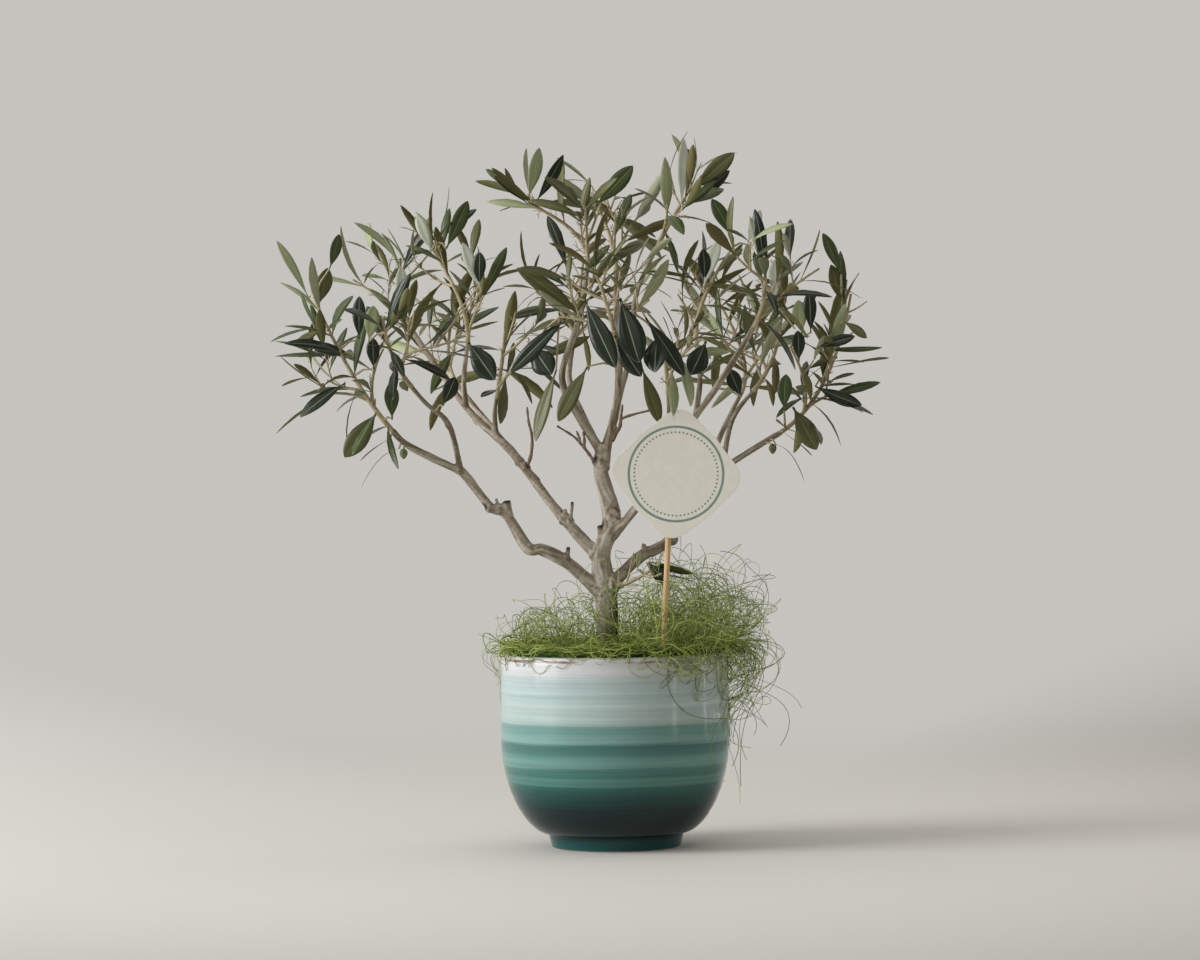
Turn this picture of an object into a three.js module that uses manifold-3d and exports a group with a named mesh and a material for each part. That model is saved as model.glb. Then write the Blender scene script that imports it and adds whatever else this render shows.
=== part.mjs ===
// Small olive tree trained as a bonsai, in a round glazed pot.
// Green wood wool covers the soil, and a plain card stands in it on a thin bamboo stick.
// Millimetres, +Z up. The origin is the centre of the pot's flat underside, and -Y is the front.
import * as THREE from "three";
import Module from "manifold-3d";

const wasm = await Module();
wasm.setup();
const { Manifold, Mesh } = wasm;

// Sizes that everything else follows from
const clearance = 0.3;

const potHeight = 101.5;
const potRadius = 60;
const rimRadius = 59.5;
const footRadius = 34.1;
const neckRadius = 35.4;
const neckHeight = 7;
const bellyHeight = 55;
const bellyFullness = 1.8;
const wallThickness = 4.2;
const floorThickness = 9;
const potSides = 32;

const soilTop = 92;
const matTop = 104.5;
const matOverhang = 61;
const threadRadius = 0.5;

const cardCentre = [32.7, -52, 195.1];
const cardWaist = 27.4;
const cardLobe = 33;
const cardThickness = 1.2;
const cardLean = THREE.MathUtils.degToRad(-5);
const stickRadius = 1.5;

const leafLength = 31;
const leafWidth = 8;
const leafThickness = 0.9;
const leafSpacing = 11.4;
const leafApart = 5.5;
const shootRadius = 1.5;
const pairTurn = Math.PI / 2;
const otherTurns = [0, 0.6, -0.6, 1.2, -1.2];

// Helpers for points and curves
const point = (p) => new THREE.Vector3(p[0], p[1], p[2]);

// Repeatable chance: the same seed always gives the same run of numbers from 0 to 1.
function chance(seed) {
  let state = Math.imul(seed, 2654435761) >>> 0;
  return () => {
    state = (Math.imul(state, 1664525) + 1013904223) >>> 0;
    return state / 4294967296;
  };
}

// Smooth line through a few way points, with a fixed number of steps between them.
function smoothLine(way, steps) {
  const points = way.map(point);
  const line = [];
  for (let i = 0; i < points.length - 1; i += 1) {
    const p0 = points[Math.max(i - 1, 0)];
    const p1 = points[i];
    const p2 = points[i + 1];
    const p3 = points[Math.min(i + 2, points.length - 1)];
    for (let k = 0; k < steps; k += 1) {
      const t = k / steps;
      const at = p1.clone().multiplyScalar(2);
      at.addScaledVector(p2.clone().sub(p0), t);
      const square = p0.clone().multiplyScalar(2).addScaledVector(p1, -5).addScaledVector(p2, 4).sub(p3);
      at.addScaledVector(square, t * t);
      const cube = p1.clone().multiplyScalar(3).sub(p0).addScaledVector(p2, -3).add(p3);
      at.addScaledVector(cube, t * t * t);
      line.push(at.multiplyScalar(0.5));
    }
  }
  line.push(points[points.length - 1].clone());
  return line;
}

// A bent shoot: it leaves its start along a heading and swings round to reach its tip.
function bend(start, heading, tip, share) {
  const reach = start.distanceTo(tip);
  return { start, middle: start.clone().addScaledVector(heading, share * reach), tip, reach };
}

function along(shoot, t) {
  const at = shoot.start.clone().multiplyScalar((1 - t) * (1 - t));
  return at.addScaledVector(shoot.middle, 2 * t * (1 - t)).addScaledVector(shoot.tip, t * t);
}

function headingAt(shoot, t) {
  const out = shoot.middle.clone().sub(shoot.start).multiplyScalar(1 - t);
  return out.addScaledVector(shoot.tip.clone().sub(shoot.middle), t).normalize();
}

// Two directions square to a heading
function acrossFrom(heading) {
  const side = new THREE.Vector3(0, 0, 1).cross(heading);
  if (side.length() < 0.05) {
    side.set(1, 0, 0);
  }
  side.normalize();
  return [side, heading.clone().cross(side).normalize()];
}

// Closed body from rings of points that all have the same number of corners
function bodyFromRings(rings) {
  const sides = rings[0].length;
  const vertices = [];
  const faces = [];
  rings.forEach((ring) => ring.forEach((p) => vertices.push(p.x, p.y, p.z)));
  for (let i = 0; i < rings.length - 1; i += 1) {
    for (let j = 0; j < sides; j += 1) {
      const a = i * sides + j;
      const b = i * sides + ((j + 1) % sides);
      faces.push(a, b, b + sides, a, b + sides, a + sides);
    }
  }
  const last = (rings.length - 1) * sides;
  for (let j = 1; j < sides - 1; j += 1) {
    faces.push(0, j + 1, j, last, last + j, last + j + 1);
  }
  const mesh = new Mesh({
    numProp: 3,
    vertProperties: Float32Array.from(vertices),
    triVerts: Uint32Array.from(faces),
  });
  return new Manifold(mesh);
}

// Round bar along a line, with its own radius at each point
function sweep(line, radii, sides) {
  let side = null;
  const rings = line.map((at, i) => {
    const before = line[Math.max(i - 1, 0)];
    const after = line[Math.min(i + 1, line.length - 1)];
    const heading = after.clone().sub(before).normalize();
    if (side === null) {
      [side] = acrossFrom(heading);
    }
    side.addScaledVector(heading, -side.dot(heading)).normalize();
    const up = heading.clone().cross(side);
    return Array.from({ length: sides }, (_, k) => {
      const turn = (2 * Math.PI * k) / sides;
      const out = side.clone().multiplyScalar(Math.cos(turn)).addScaledVector(up, Math.sin(turn));
      return at.clone().addScaledVector(out, radii[i]);
    });
  });
  return bodyFromRings(rings);
}

function largestPiece(body) {
  const pieces = body.decompose();
  return pieces.reduce((best, piece) => (piece.volume() > best.volume() ? piece : best));
}

// Body turned from an outline of [radius, height] pairs that runs up the outside
function turned(outline, sides) {
  const rings = outline.map(([radius, height]) =>
    Array.from({ length: sides }, (_, k) => {
      const turn = (2 * Math.PI * k) / sides;
      return new THREE.Vector3(radius * Math.cos(turn), radius * Math.sin(turn), height);
    }),
  );
  return bodyFromRings(rings);
}

// Pot: a round bowl on a low foot, with near-upright sides and a rounded rim
function bowlRadius(height) {
  if (height >= bellyHeight) {
    const up = (height - bellyHeight) / (potHeight - bellyHeight);
    return potRadius + (rimRadius - potRadius) * up;
  }
  const drop = (bellyHeight - height) / (bellyHeight - neckHeight);
  const spread = Math.pow(1 - Math.pow(drop, bellyFullness), 1 / bellyFullness);
  return neckRadius + (potRadius - neckRadius) * spread;
}

function heights(low, high, count) {
  return Array.from({ length: count }, (_, i) => low + ((high - low) * i) / (count - 1));
}

// The curve of the bowl, with its heights closer together near the foot
function curveHeights(low, count) {
  return heights(0, 1, count).map((t) => low + (bellyHeight - low) * Math.pow(t, 1.7));
}

const innerRadius = (height) => bowlRadius(height) - wallThickness;

function pot() {
  const lip = wallThickness / 2;
  const outside = [
    [footRadius - 0.8, 0],
    [footRadius, 0.8],
    [neckRadius, 4.5],
  ];
  curveHeights(neckHeight, 8).forEach((h) => outside.push([bowlRadius(h), h]));
  outside.push([rimRadius, potHeight - 1.4]);
  for (const turn of [40, 90, 140]) {
    const angle = THREE.MathUtils.degToRad(turn);
    outside.push([rimRadius - lip + lip * Math.cos(angle), potHeight - 1.4 + 1.4 * Math.sin(angle)]);
  }
  const hollow = curveHeights(floorThickness + 3, 6).map((h) => [innerRadius(h), h]);
  hollow.unshift([innerRadius(floorThickness + 3) - 4, floorThickness]);
  hollow.push([rimRadius - wallThickness, potHeight - 1.4]);
  hollow.push([rimRadius - wallThickness, potHeight + 4]);
  return turned(outside, potSides).subtract(turned(hollow, potSides));
}

// Soil: fills the pot to just below the rim
function soil() {
  const gap = clearance + 0.1;
  const outline = curveHeights(floorThickness + 3, 6).map((h) => [innerRadius(h) - gap, h]);
  outline.unshift([innerRadius(floorThickness + 3) - 4 - gap, floorThickness + gap]);
  outline.push([innerRadius(soilTop) - gap, soilTop]);
  return turned(outline, potSides);
}

// Limbs: way points from base to tip, and the radius at each end.
// The front of the tree is -Y. Each limb starts inside the one it grows from.
const limbs = {
  trunk: {
    radius: [6.3, 3.8],
    way: [
      [-3, 0, soilTop + clearance], [-3.7, 0, 128], [-6.1, 0, 153],
      [-0.4, 0, 172], [-5.6, 0, 196], [-4.2, 0, 211],
    ],
  },
  lower_left_bough: {
    radius: [3.7, 1.7],
    way: [
      [-3.9, 0, 130.5], [-23.8, -4, 149], [-37, -6.8, 156.3], [-44.5, -8.3, 157.2],
      [-52.9, -10.3, 171], [-57.5, -11.3, 176.8], [-63.8, -12.5, 179.2],
      [-77.7, -18, 197], [-84, -21, 200.4], [-105.1, -30, 211.3], [-113.5, -34, 219.5],
    ],
  },
  lower_left_riser: {
    radius: [1.7, 1.2],
    way: [[-78.8, -18.8, 197.6], [-84.5, -23, 222], [-96.2, -26, 233.4], [-104.3, -28, 243]],
  },
  middle_left_bough: {
    radius: [3.2, 1.5],
    way: [[-5.8, 0, 150.4], [-28.7, 12, 175.8], [-53, 24, 208], [-77.5, 33, 232.4], [-107.5, 44, 275.5]],
  },
  middle_left_spur: {
    radius: [1.5, 1.1],
    way: [[-61.5, 28, 217], [-62, 26, 229], [-60.6, 24, 238]],
  },
  left_crown_riser: {
    radius: [1.7, 1.2],
    way: [[-77.5, 33, 232.4], [-78, 20, 247], [-75, 4, 267]],
  },
  back_left_bough: {
    radius: [2, 1.3],
    way: [[-40, 18, 192], [-55, 44, 210], [-68, 66, 226], [-84, 80, 246]],
  },
  lower_right_bough: {
    radius: [3.6, 1.5],
    way: [
      [-2.8, 0, 135.6], [14.3, 6, 151.6], [30, 13, 160.5],
      [45.3, 22, 187.5], [66, 28, 202], [91, 33, 217],
    ],
  },
  lower_right_riser: {
    radius: [1.6, 1.2],
    way: [[59, 26.5, 197.5], [64.6, 26, 223.7], [77, 28, 240]],
  },
  middle_right_bough: {
    radius: [2.8, 1.4],
    way: [[-0.3, 0, 163.5], [13.4, -9, 179.2], [31.4, -19, 208.7], [54.4, -31, 239.4], [74.6, -41, 271.4]],
  },
  middle_right_spur: {
    radius: [1.4, 1.1],
    way: [[31.5, -19, 208.9], [30, -21, 226], [29.7, -23, 237.9]],
  },
  right_crown_riser: {
    radius: [1.6, 1.2],
    way: [[44, -25, 226], [46.6, -16, 245], [45, -4, 266.5]],
  },
  back_right_bough: {
    radius: [2, 1.3],
    way: [[37, 17, 170.7], [52, 48, 200], [62, 66, 221], [72, 78, 240]],
  },
  top_centre_bough: {
    radius: [2.7, 1.3],
    way: [[-3.6, 0, 207], [3.8, 8, 237.3], [3.8, 16, 277.3], [3.6, 22, 305.2]],
  },
  top_left_bough: {
    radius: [2.7, 1.3],
    way: [[-4.5, 0, 206], [-16.9, -5, 226.2], [-25.5, -10, 247], [-15.7, -12, 278.4], [-11.2, -8, 306.8]],
  },
  top_right_bough: {
    radius: [1.9, 1.2],
    way: [[3.4, 8, 235], [11.5, 0, 262], [14, -5, 290], [26.7, -8, 317.4]],
  },
  front_bough: {
    radius: [2.1, 1.2],
    way: [[-3.5, 0, 201], [0, -12, 222], [4, -34, 242], [3, -54, 262]],
  },
  back_bough: {
    radius: [2.2, 1.3],
    way: [[-4, 0, 203], [-14, 22, 225], [-22, 48, 246], [-20, 66, 266]],
  },
};

// Root flare at the foot of the trunk, and slight swellings along every limb where old twigs grew
function limbRadii(name, line, extra) {
  const [thick, thin] = limbs[name].radius;
  return line.map((at, i) => {
    const t = i / (line.length - 1);
    const knot = 1 + 0.07 * Math.sin(5.1 * i + thick * 7);
    let radius = (thick + (thin - thick) * t) * knot;
    if (name === "trunk") {
      radius += 5.5 * Math.exp(-(at.z - soilTop) / 6);
    }
    return radius + extra;
  });
}

const limbLines = {};
for (const name of Object.keys(limbs)) {
  limbLines[name] = smoothLine(limbs[name].way, 3);
}

function limbSides(name) {
  if (name === "trunk") {
    return 10;
  }
  return limbs[name].radius[0] < 1.8 ? 5 : 6;
}

function limbBody(name, extra) {
  const sides = limbSides(name);
  const more = extra / Math.cos(Math.PI / sides);
  return sweep(limbLines[name], limbRadii(name, limbLines[name], more), sides);
}

// Foliage: each mass is named for its place, sits on the tip of its own limb, and has a main shoot
// that ends at "tip". Side shoots leave it part of the way along and end at points of their own.
// One small mass grows "from" the side of the trunk, and its stem is bare at first.
const masses = {
  left_wing: {
    on: "lower_left_bough", seed: 55, tip: [-152, -50, 288],
    side: [[0.25, [-118, -26, 262]], [0.3, [-152, -36, 238]]],
  },
  left_front: {
    on: "lower_left_riser", seed: 81, tip: [-116, -62, 277],
    side: [[0.3, [-90, -50, 262]]],
  },
  left_shoulder: {
    on: "middle_left_bough", seed: 125, tip: [-113, 60, 313],
    side: [[0.1, [-138, 44, 302]]],
  },
  left_crown: {
    on: "left_crown_riser", seed: 47, tip: [-93, 8, 315],
    side: [[0.1, [-66, -8, 290]]],
  },
  left_inner: {
    on: "middle_left_spur", seed: 64, tip: [-56, 22, 272],
    side: [[0.2, [-34, -2, 258]]],
  },
  left_back: {
    on: "back_left_bough", seed: 102, tip: [-84, 92, 292],
    side: [[0.2, [-112, 88, 268]]],
  },
  right_wing: {
    on: "lower_right_bough", seed: 49, tip: [130, 45, 291],
    side: [[0.25, [96, 26, 262]], [0.3, [122, 32, 238]]],
  },
  right_back_wing: {
    on: "lower_right_riser", seed: 131, tip: [93, 60, 281],
    side: [[0.3, [70, 50, 262]]],
  },
  right_shoulder: {
    on: "middle_right_bough", seed: 43, tip: [79, -56, 306],
    side: [[0.1, [108, -42, 300]]],
  },
  right_crown: {
    on: "right_crown_riser", seed: 33, tip: [65, -6, 314],
    side: [[0.1, [36, 8, 290]]],
  },
  right_inner: {
    on: "middle_right_spur", seed: 127, tip: [26, -28, 268],
    side: [[0.2, [44, -46, 262]]],
  },
  right_back: {
    on: "back_right_bough", seed: 21, tip: [60, 92, 290],
    side: [[0.2, [92, 84, 268]]],
  },
  top_left: {
    on: "top_left_bough", seed: 8, tip: [-41, -14, 337],
    side: [[0.1, [-12, -34, 334]]],
  },
  top_centre: {
    on: "top_centre_bough", seed: 93, tip: [-9, 34, 345],
    side: [[0.1, [18, 44, 336]]],
  },
  top_right: {
    on: "top_right_bough", seed: 66, tip: [42, -14, 343],
    side: [[0.05, [30, -34, 334]]],
  },
  front: {
    on: "front_bough", seed: 122, tip: [-8, -62, 300],
    side: [[0.1, [20, -66, 284]], [0.15, [-26, -60, 276]]],
  },
  trunk_shoot: {
    on: "trunk", from: [-2, -1.5, 136], bare: 12, seed: 45, tip: [25, -12, 149],
    side: [],
  },
  back: {
    on: "back_bough", seed: 80, tip: [-14, 78, 312],
    side: [[0.15, [14, 84, 290]], [0.2, [-40, 84, 296]]],
  },
};

// The heart of each mass: every point of the mass is nearer to its own heart than to any other.
const hearts = {};
const stems = {};
for (const [name, mass] of Object.entries(masses)) {
  const line = limbLines[mass.on];
  let base = line[line.length - 1].clone();
  let heading = base.clone().sub(line[line.length - 3]).normalize();
  if (mass.from) {
    base = point(mass.from);
    heading = new THREE.Vector3(mass.tip[0] - base.x, mass.tip[1] - base.y, 0).normalize();
  }
  stems[name] = bend(base.addScaledVector(heading, -1.5), heading, point(mass.tip), 0.4);
  const middle = along(stems[name], 0.55);
  mass.side.forEach(([, tip]) => middle.lerp(point(tip), 0.2));
  hearts[name] = middle;
}

function roomLeft(name, p) {
  const own = hearts[name];
  let least = Infinity;
  for (const [other, heart] of Object.entries(hearts)) {
    if (other !== name) {
      const apart = own.distanceTo(heart);
      least = Math.min(least, (p.distanceToSquared(heart) - p.distanceToSquared(own)) / (2 * apart));
    }
  }
  return least;
}

function gapToLimbs(p) {
  let least = Infinity;
  for (const name of Object.keys(limbs)) {
    const line = limbLines[name];
    for (let i = 0; i < line.length - 1; i += 1) {
      const run = line[i + 1].clone().sub(line[i]);
      const t = THREE.MathUtils.clamp(p.clone().sub(line[i]).dot(run) / run.lengthSq(), 0, 1);
      const near = line[i].clone().addScaledVector(run, t);
      least = Math.min(least, near.distanceTo(p) - limbs[name].radius[0]);
    }
  }
  return least;
}

function gapToCard(p) {
  const [x, y, z] = cardCentre;
  return Math.max(Math.abs(p.y - y) - 3, Math.hypot(p.x - x, p.z - z) - cardLobe - 1);
}

// A leaf: long, narrow and pointed. It leaves its twig along "out" and arches back from "face",
// the side that looks towards the tip of the twig.
function leafPoint(leaf, t, sideways) {
  const at = leaf.root.clone().addScaledVector(leaf.out, leaf.length * t);
  at.addScaledVector(leaf.face, -leaf.arch * leaf.length * t * t);
  return at.addScaledVector(leaf.across, sideways);
}

function makeLeaf(root, heading, turn, lean, length, arch) {
  const [side, up] = acrossFrom(heading);
  const away = side.multiplyScalar(Math.cos(turn)).addScaledVector(up, Math.sin(turn));
  const out = heading.clone().multiplyScalar(Math.cos(lean)).addScaledVector(away, Math.sin(lean));
  const face = heading.clone().addScaledVector(out, -heading.dot(out)).normalize();
  const across = out.clone().cross(face);
  const width = (leafWidth * length) / leafLength;
  return { root, out, face, across, length, width, arch };
}

function leafFits(name, leaf, leaves) {
  const half = leaf.width / 2;
  const checks = [leafPoint(leaf, 0.45, half), leafPoint(leaf, 0.45, -half), leafPoint(leaf, 1, 0)];
  if (checks.some((p) => roomLeft(name, p) < 0.6)) {
    return false;
  }
  const rib = [0.35, 0.55, 0.78, 1].map((t) => leafPoint(leaf, t, 0));
  if (leaves.some((other) => rib.some((p) => other.rib.some((q) => p.distanceTo(q) < leafApart)))) {
    return false;
  }
  leaf.rib = rib;
  return checks.concat(rib).every((p) => gapToLimbs(p) > 1 && gapToCard(p) > 0);
}

// Leaves stand in opposite pairs, each pair turned a quarter from the last, and the shoot ends
// in a small upright pair. A leaf that meets its neighbours' space or a limb tries other angles.
function growLeaves(name, shoot, first, draw, leaves) {
  const count = Math.max(1, Math.floor((shoot.reach - first) / leafSpacing) + 1);
  let turn = draw() * Math.PI;
  for (let i = 0; i < count; i += 1) {
    const t = Math.min(0.985, (first + i * leafSpacing) / shoot.reach);
    const ending = i === count - 1;
    for (const half of [0, Math.PI]) {
      const lean = ending ? 0.2 + 0.35 * draw() : 0.4 + 1.1 * (1 - t) + 0.45 * draw();
      const length = leafLength * (ending ? 0.9 + 0.3 * draw() : 0.78 + 0.4 * draw());
      const arch = 0.02 + 0.26 * draw();
      const wobble = 0.5 * (draw() - 0.5);
      for (const shift of otherTurns) {
        const around = turn + half + wobble + shift;
        const leaf = makeLeaf(along(shoot, t), headingAt(shoot, t), around, lean, length, arch);
        if (leafFits(name, leaf, leaves)) {
          leaves.push(leaf);
          break;
        }
      }
    }
    turn += pairTurn;
  }
}

function growMass(name) {
  const mass = masses[name];
  const draw = chance(mass.seed);
  const stem = stems[name];
  const shoots = [{ shoot: stem, first: mass.bare ?? 6, thick: 1.15 }];
  for (const [t, tip] of mass.side) {
    const start = along(stem, t);
    const heading = headingAt(stem, t).add(point(tip).sub(start).normalize()).normalize();
    shoots.push({ shoot: bend(start, heading, point(tip), 0.45), first: 9, thick: 0.9 });
  }
  // Short twigs from the main shoot, left out where they would leave the mass's own space
  const twigCount = Math.round(stem.reach / 22);
  for (let i = 0; i < twigCount; i += 1) {
    const t = (i + 0.6 + 0.3 * draw()) / (twigCount + 0.4);
    const turn = 2.4 * i + 2 * draw();
    const [side, up] = acrossFrom(headingAt(stem, t));
    const away = side.multiplyScalar(Math.cos(turn)).addScaledVector(up, Math.sin(turn));
    const heading = headingAt(stem, t).multiplyScalar(0.55).addScaledVector(away, 0.83).normalize();
    const length = 16 + 12 * draw();
    const start = along(stem, t);
    const tip = start.clone().addScaledVector(heading, length);
    tip.z += 0.25 * length;
    const fits = roomLeft(name, tip) > 4 && gapToLimbs(tip) > 4 && gapToCard(tip) > 4;
    if (fits) {
      shoots.push({ shoot: bend(start, heading, tip, 0.5), first: 9, thick: 0.75 });
    }
  }
  const leaves = [];
  shoots.forEach((s) => growLeaves(name, s.shoot, s.first, draw, leaves));
  return { shoots, leaves };
}

// Solid leaf: flat below, with a raised midrib above, and its root sunk past the middle of the twig
function leafBody(leaf) {
  const half = leaf.width / 2;
  const corners = [
    leafPoint(leaf, -0.02, 0),
    leafPoint(leaf, 0.45, half),
    leafPoint(leaf, 1, 0),
    leafPoint(leaf, 0.45, -half),
    leafPoint(leaf, 0.45, 0).addScaledVector(leaf.face, leafThickness),
  ];
  const mesh = new Mesh({
    numProp: 3,
    vertProperties: Float32Array.from(corners.flatMap((p) => [p.x, p.y, p.z])),
    triVerts: Uint32Array.from([0, 3, 1, 1, 3, 2, 0, 1, 4, 1, 2, 4, 2, 3, 4, 3, 0, 4]),
  });
  return new Manifold(mesh);
}

function massBody(name, limbSpace) {
  const { shoots, leaves } = growMass(name);
  const bodies = leaves.map(leafBody);
  for (const { shoot, thick } of shoots) {
    const steps = Math.max(2, Math.round(shoot.reach / 18));
    const line = heights(0, 1, steps + 1).map((t) => along(shoot, t));
    const radii = line.map((_, i) => shootRadius * thick * (1.15 - (0.4 * i) / steps));
    bodies.push(sweep(line, radii, 3));
  }
  return largestPiece(Manifold.union(bodies).subtract(limbSpace));
}

// Wood wool: a lumpy mat over the soil that bulges past the rim, with loose threads
function dressing(limbSpace, stickSpace) {
  const sides = 24;
  const inside = innerRadius(soilTop) - clearance - 0.3;
  const lump = (k, h) => 1.6 * Math.sin(3.1 * k + h) + 1.1 * Math.sin(5.3 * k + 2 * h);
  const ring = (radius, height, rough) =>
    Array.from({ length: sides }, (_, k) => {
      const turn = (2 * Math.PI * k) / sides;
      const r = radius + rough * lump(k, height);
      const lift = 0.5 * rough * lump(k + 2, height);
      return new THREE.Vector3(r * Math.cos(turn), r * Math.sin(turn), height + lift);
    });
  const mat = bodyFromRings([
    ring(inside, soilTop + clearance, 0),
    ring(inside, potHeight + 0.6, 0),
    ring(matOverhang - 3, potHeight + 2.6, 0.4),
    ring(matOverhang - 6, matTop + 1, 0.8),
    ring(matOverhang - 20, matTop + 2.5, 1),
    ring(matOverhang - 40, matTop + 2, 1),
  ]);
  const bodies = [mat];
  const shootLeaves = growMass("trunk_shoot").leaves;
  const draw = chance(7);
  const threadCount = 22;
  for (let i = 0; i < threadCount; i += 1) {
    const right = i % 3 !== 0;
    const hanging = right && i % 4 === 1;
    const turn = right ? -0.9 + 1.8 * draw() : 2.2 + 1.9 * draw();
    const r = 22 + 30 * draw();
    const start = new THREE.Vector3(r * Math.cos(turn), r * Math.sin(turn), matTop);
    const out = new THREE.Vector3(Math.cos(turn + draw() - 0.5), Math.sin(turn + draw() - 0.5), 0);
    const lift = right ? 26 + 34 * draw() : 16 + 24 * draw();
    const tip = start.clone().addScaledVector(out, right ? 12 + 26 * draw() : 6 + 10 * draw());
    tip.z += lift * (0.2 + 0.5 * draw());
    if (hanging) {
      const swing = 66 + 22 * draw();
      tip.set(swing * Math.cos(turn), swing * Math.sin(turn), 34 + 50 * draw());
    }
    const middle = start.clone().addScaledVector(out, hanging ? 62 : 6);
    middle.z = matTop + lift * (hanging ? 0.9 : 1.6);
    const thread = { start: start.setZ(matTop - 3), middle, tip };
    const line = heights(0, 1, 7).map((t) => along(thread, t));
    const free = heights(0.15, 1, 25).every((t) => {
      const p = along(thread, t);
      const offPot = Math.hypot(p.x, p.y) > potRadius + 1.5 || p.z > potHeight + 1;
      const offLeaves = shootLeaves.every((leaf) => leaf.rib.every((q) => p.distanceTo(q) > 7));
      return offPot && offLeaves && gapToCard(p) > 1;
    });
    if (free) {
      bodies.push(sweep(line, line.map(() => threadRadius), 3));
    }
  }
  return largestPiece(Manifold.union(bodies).subtract(limbSpace).subtract(stickSpace));
}

// Card: round with four soft lobes, upright in front of the head of the stick
function card() {
  const count = 48;
  const rings = [cardThickness / 2, -cardThickness / 2].map((depth) =>
    Array.from({ length: count }, (_, k) => {
      const turn = (2 * Math.PI * k) / count;
      const swell = Math.pow(0.5 + 0.5 * Math.cos(4 * turn), 1.4);
      const r = cardWaist + (cardLobe - cardWaist) * swell;
      const x = cardCentre[0] + r * Math.cos(turn + cardLean);
      return new THREE.Vector3(x, cardCentre[1] + depth, cardCentre[2] + r * Math.sin(turn + cardLean));
    }),
  );
  return bodyFromRings(rings);
}

function stickBody(extra) {
  const behind = cardCentre[1] + cardThickness / 2 + clearance + stickRadius;
  const foot = new THREE.Vector3(24.4, behind + 4, soilTop + clearance - extra);
  const head = new THREE.Vector3(30.4, behind, cardCentre[2] + 6 + extra);
  return sweep([foot, head], [stickRadius + extra, stickRadius + extra], 10);
}

// Put the pieces together
const group = new THREE.Group();

function add(name, body, colour) {
  const mesh = body.simplify(0.004).getMesh();
  const geometry = new THREE.BufferGeometry();
  geometry.setAttribute("position", new THREE.BufferAttribute(Float32Array.from(mesh.vertProperties), 3));
  geometry.setIndex(new THREE.BufferAttribute(Uint32Array.from(mesh.triVerts), 1));
  geometry.computeVertexNormals();
  const piece = new THREE.Mesh(geometry, new THREE.MeshStandardMaterial({ color: colour }));
  piece.name = name;
  group.add(piece);
}

add("pot", pot(), 0x5fa8a0);
add("soil", soil(), 0x3b2c20);

// Each limb is cut back from the limbs before it, so that it starts just clear of its parent.
let limbSpace = null;
for (const name of Object.keys(limbs)) {
  let body = limbBody(name, 0);
  if (limbSpace !== null) {
    body = largestPiece(body.subtract(limbSpace));
  }
  add(name, body, 0x8f8170);
  const space = limbBody(name, clearance);
  limbSpace = limbSpace === null ? space : limbSpace.add(space);
}

for (const name of Object.keys(masses)) {
  add(`${name}_foliage`, massBody(name, limbSpace), 0x5d6f4a);
}

add("wood_wool", dressing(limbSpace, stickBody(clearance)), 0x7f9f3f);
add("card", card(), 0xd8d3c2);
add("card_stick", stickBody(0), 0xc99a5e);

export default group;
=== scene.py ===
import math

import bmesh
import bpy
import numpy as np
from mathutils import Matrix, Quaternion, Vector, kdtree, noise


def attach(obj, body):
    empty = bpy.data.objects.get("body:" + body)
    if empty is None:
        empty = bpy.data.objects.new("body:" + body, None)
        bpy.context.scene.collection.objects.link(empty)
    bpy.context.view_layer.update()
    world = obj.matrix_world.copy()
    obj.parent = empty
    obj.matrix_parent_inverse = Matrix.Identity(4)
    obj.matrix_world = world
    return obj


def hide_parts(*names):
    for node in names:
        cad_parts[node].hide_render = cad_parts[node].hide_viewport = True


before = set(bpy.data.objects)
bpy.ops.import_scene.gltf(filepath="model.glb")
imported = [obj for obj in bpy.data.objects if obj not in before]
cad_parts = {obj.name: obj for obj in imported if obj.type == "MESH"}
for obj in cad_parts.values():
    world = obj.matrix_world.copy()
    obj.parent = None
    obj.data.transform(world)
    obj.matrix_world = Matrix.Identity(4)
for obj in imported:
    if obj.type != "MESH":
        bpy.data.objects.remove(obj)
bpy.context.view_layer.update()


# Room: the camera at the height of the lower boughs, a pale floor that fades into a light wall,
# and soft daylight from windows on the left and in front, with narrow panes on the right.
mm = 0.001
wall_tone = (0.560, 0.548, 0.520)
white, grey, brown = (1.0, 1.0, 1.0), (0.667, 0.667, 0.667), (0.210, 0.186, 0.145)


def ink(red, green, blue):
    """Linear colour from the three numbers, 0 to 255, by which paints are usually named."""
    parts = [value / 255 for value in (red, green, blue)]
    return tuple(p / 12.92 if p <= 0.04045 else ((p + 0.055) / 1.055) ** 2.4 for p in parts)


def wire(made, **sockets):
    """Sets a node's sockets, named or numbered, to values or joins them to other nodes' outputs."""
    for key, value in sockets.items():
        numbered = key[0] == "i" and key[1:].isdigit()
        plug = made.inputs[int(key[1:]) if numbered else key.replace("_", " ")]
        if isinstance(value, bpy.types.NodeSocket):
            made.id_data.links.new(value, plug)
        else:
            plug.default_value = value


def finish(name, colour, roughness, specular=0.5):
    """New material with one Principled shader, and its node tree to add detail to."""
    material = bpy.data.materials.new(name)
    material.use_nodes = True
    shader = material.node_tree.nodes["Principled BSDF"]
    wire(shader, Base_Color=(*colour, 1), Roughness=roughness, Specular_IOR_Level=specular)
    return material, material.node_tree, shader


def node(tree, kind, settings=None, **sockets):
    """Shader node with its settings and sockets set."""
    made = tree.nodes.new(f"ShaderNode{kind}")
    for key, value in (settings or {}).items():
        setattr(made, key, value)
    wire(made, **sockets)
    return made


def place_on(tree):
    """Place on the piece, in its own axes."""
    return node(tree, "TexCoord").outputs["Object"]


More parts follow.
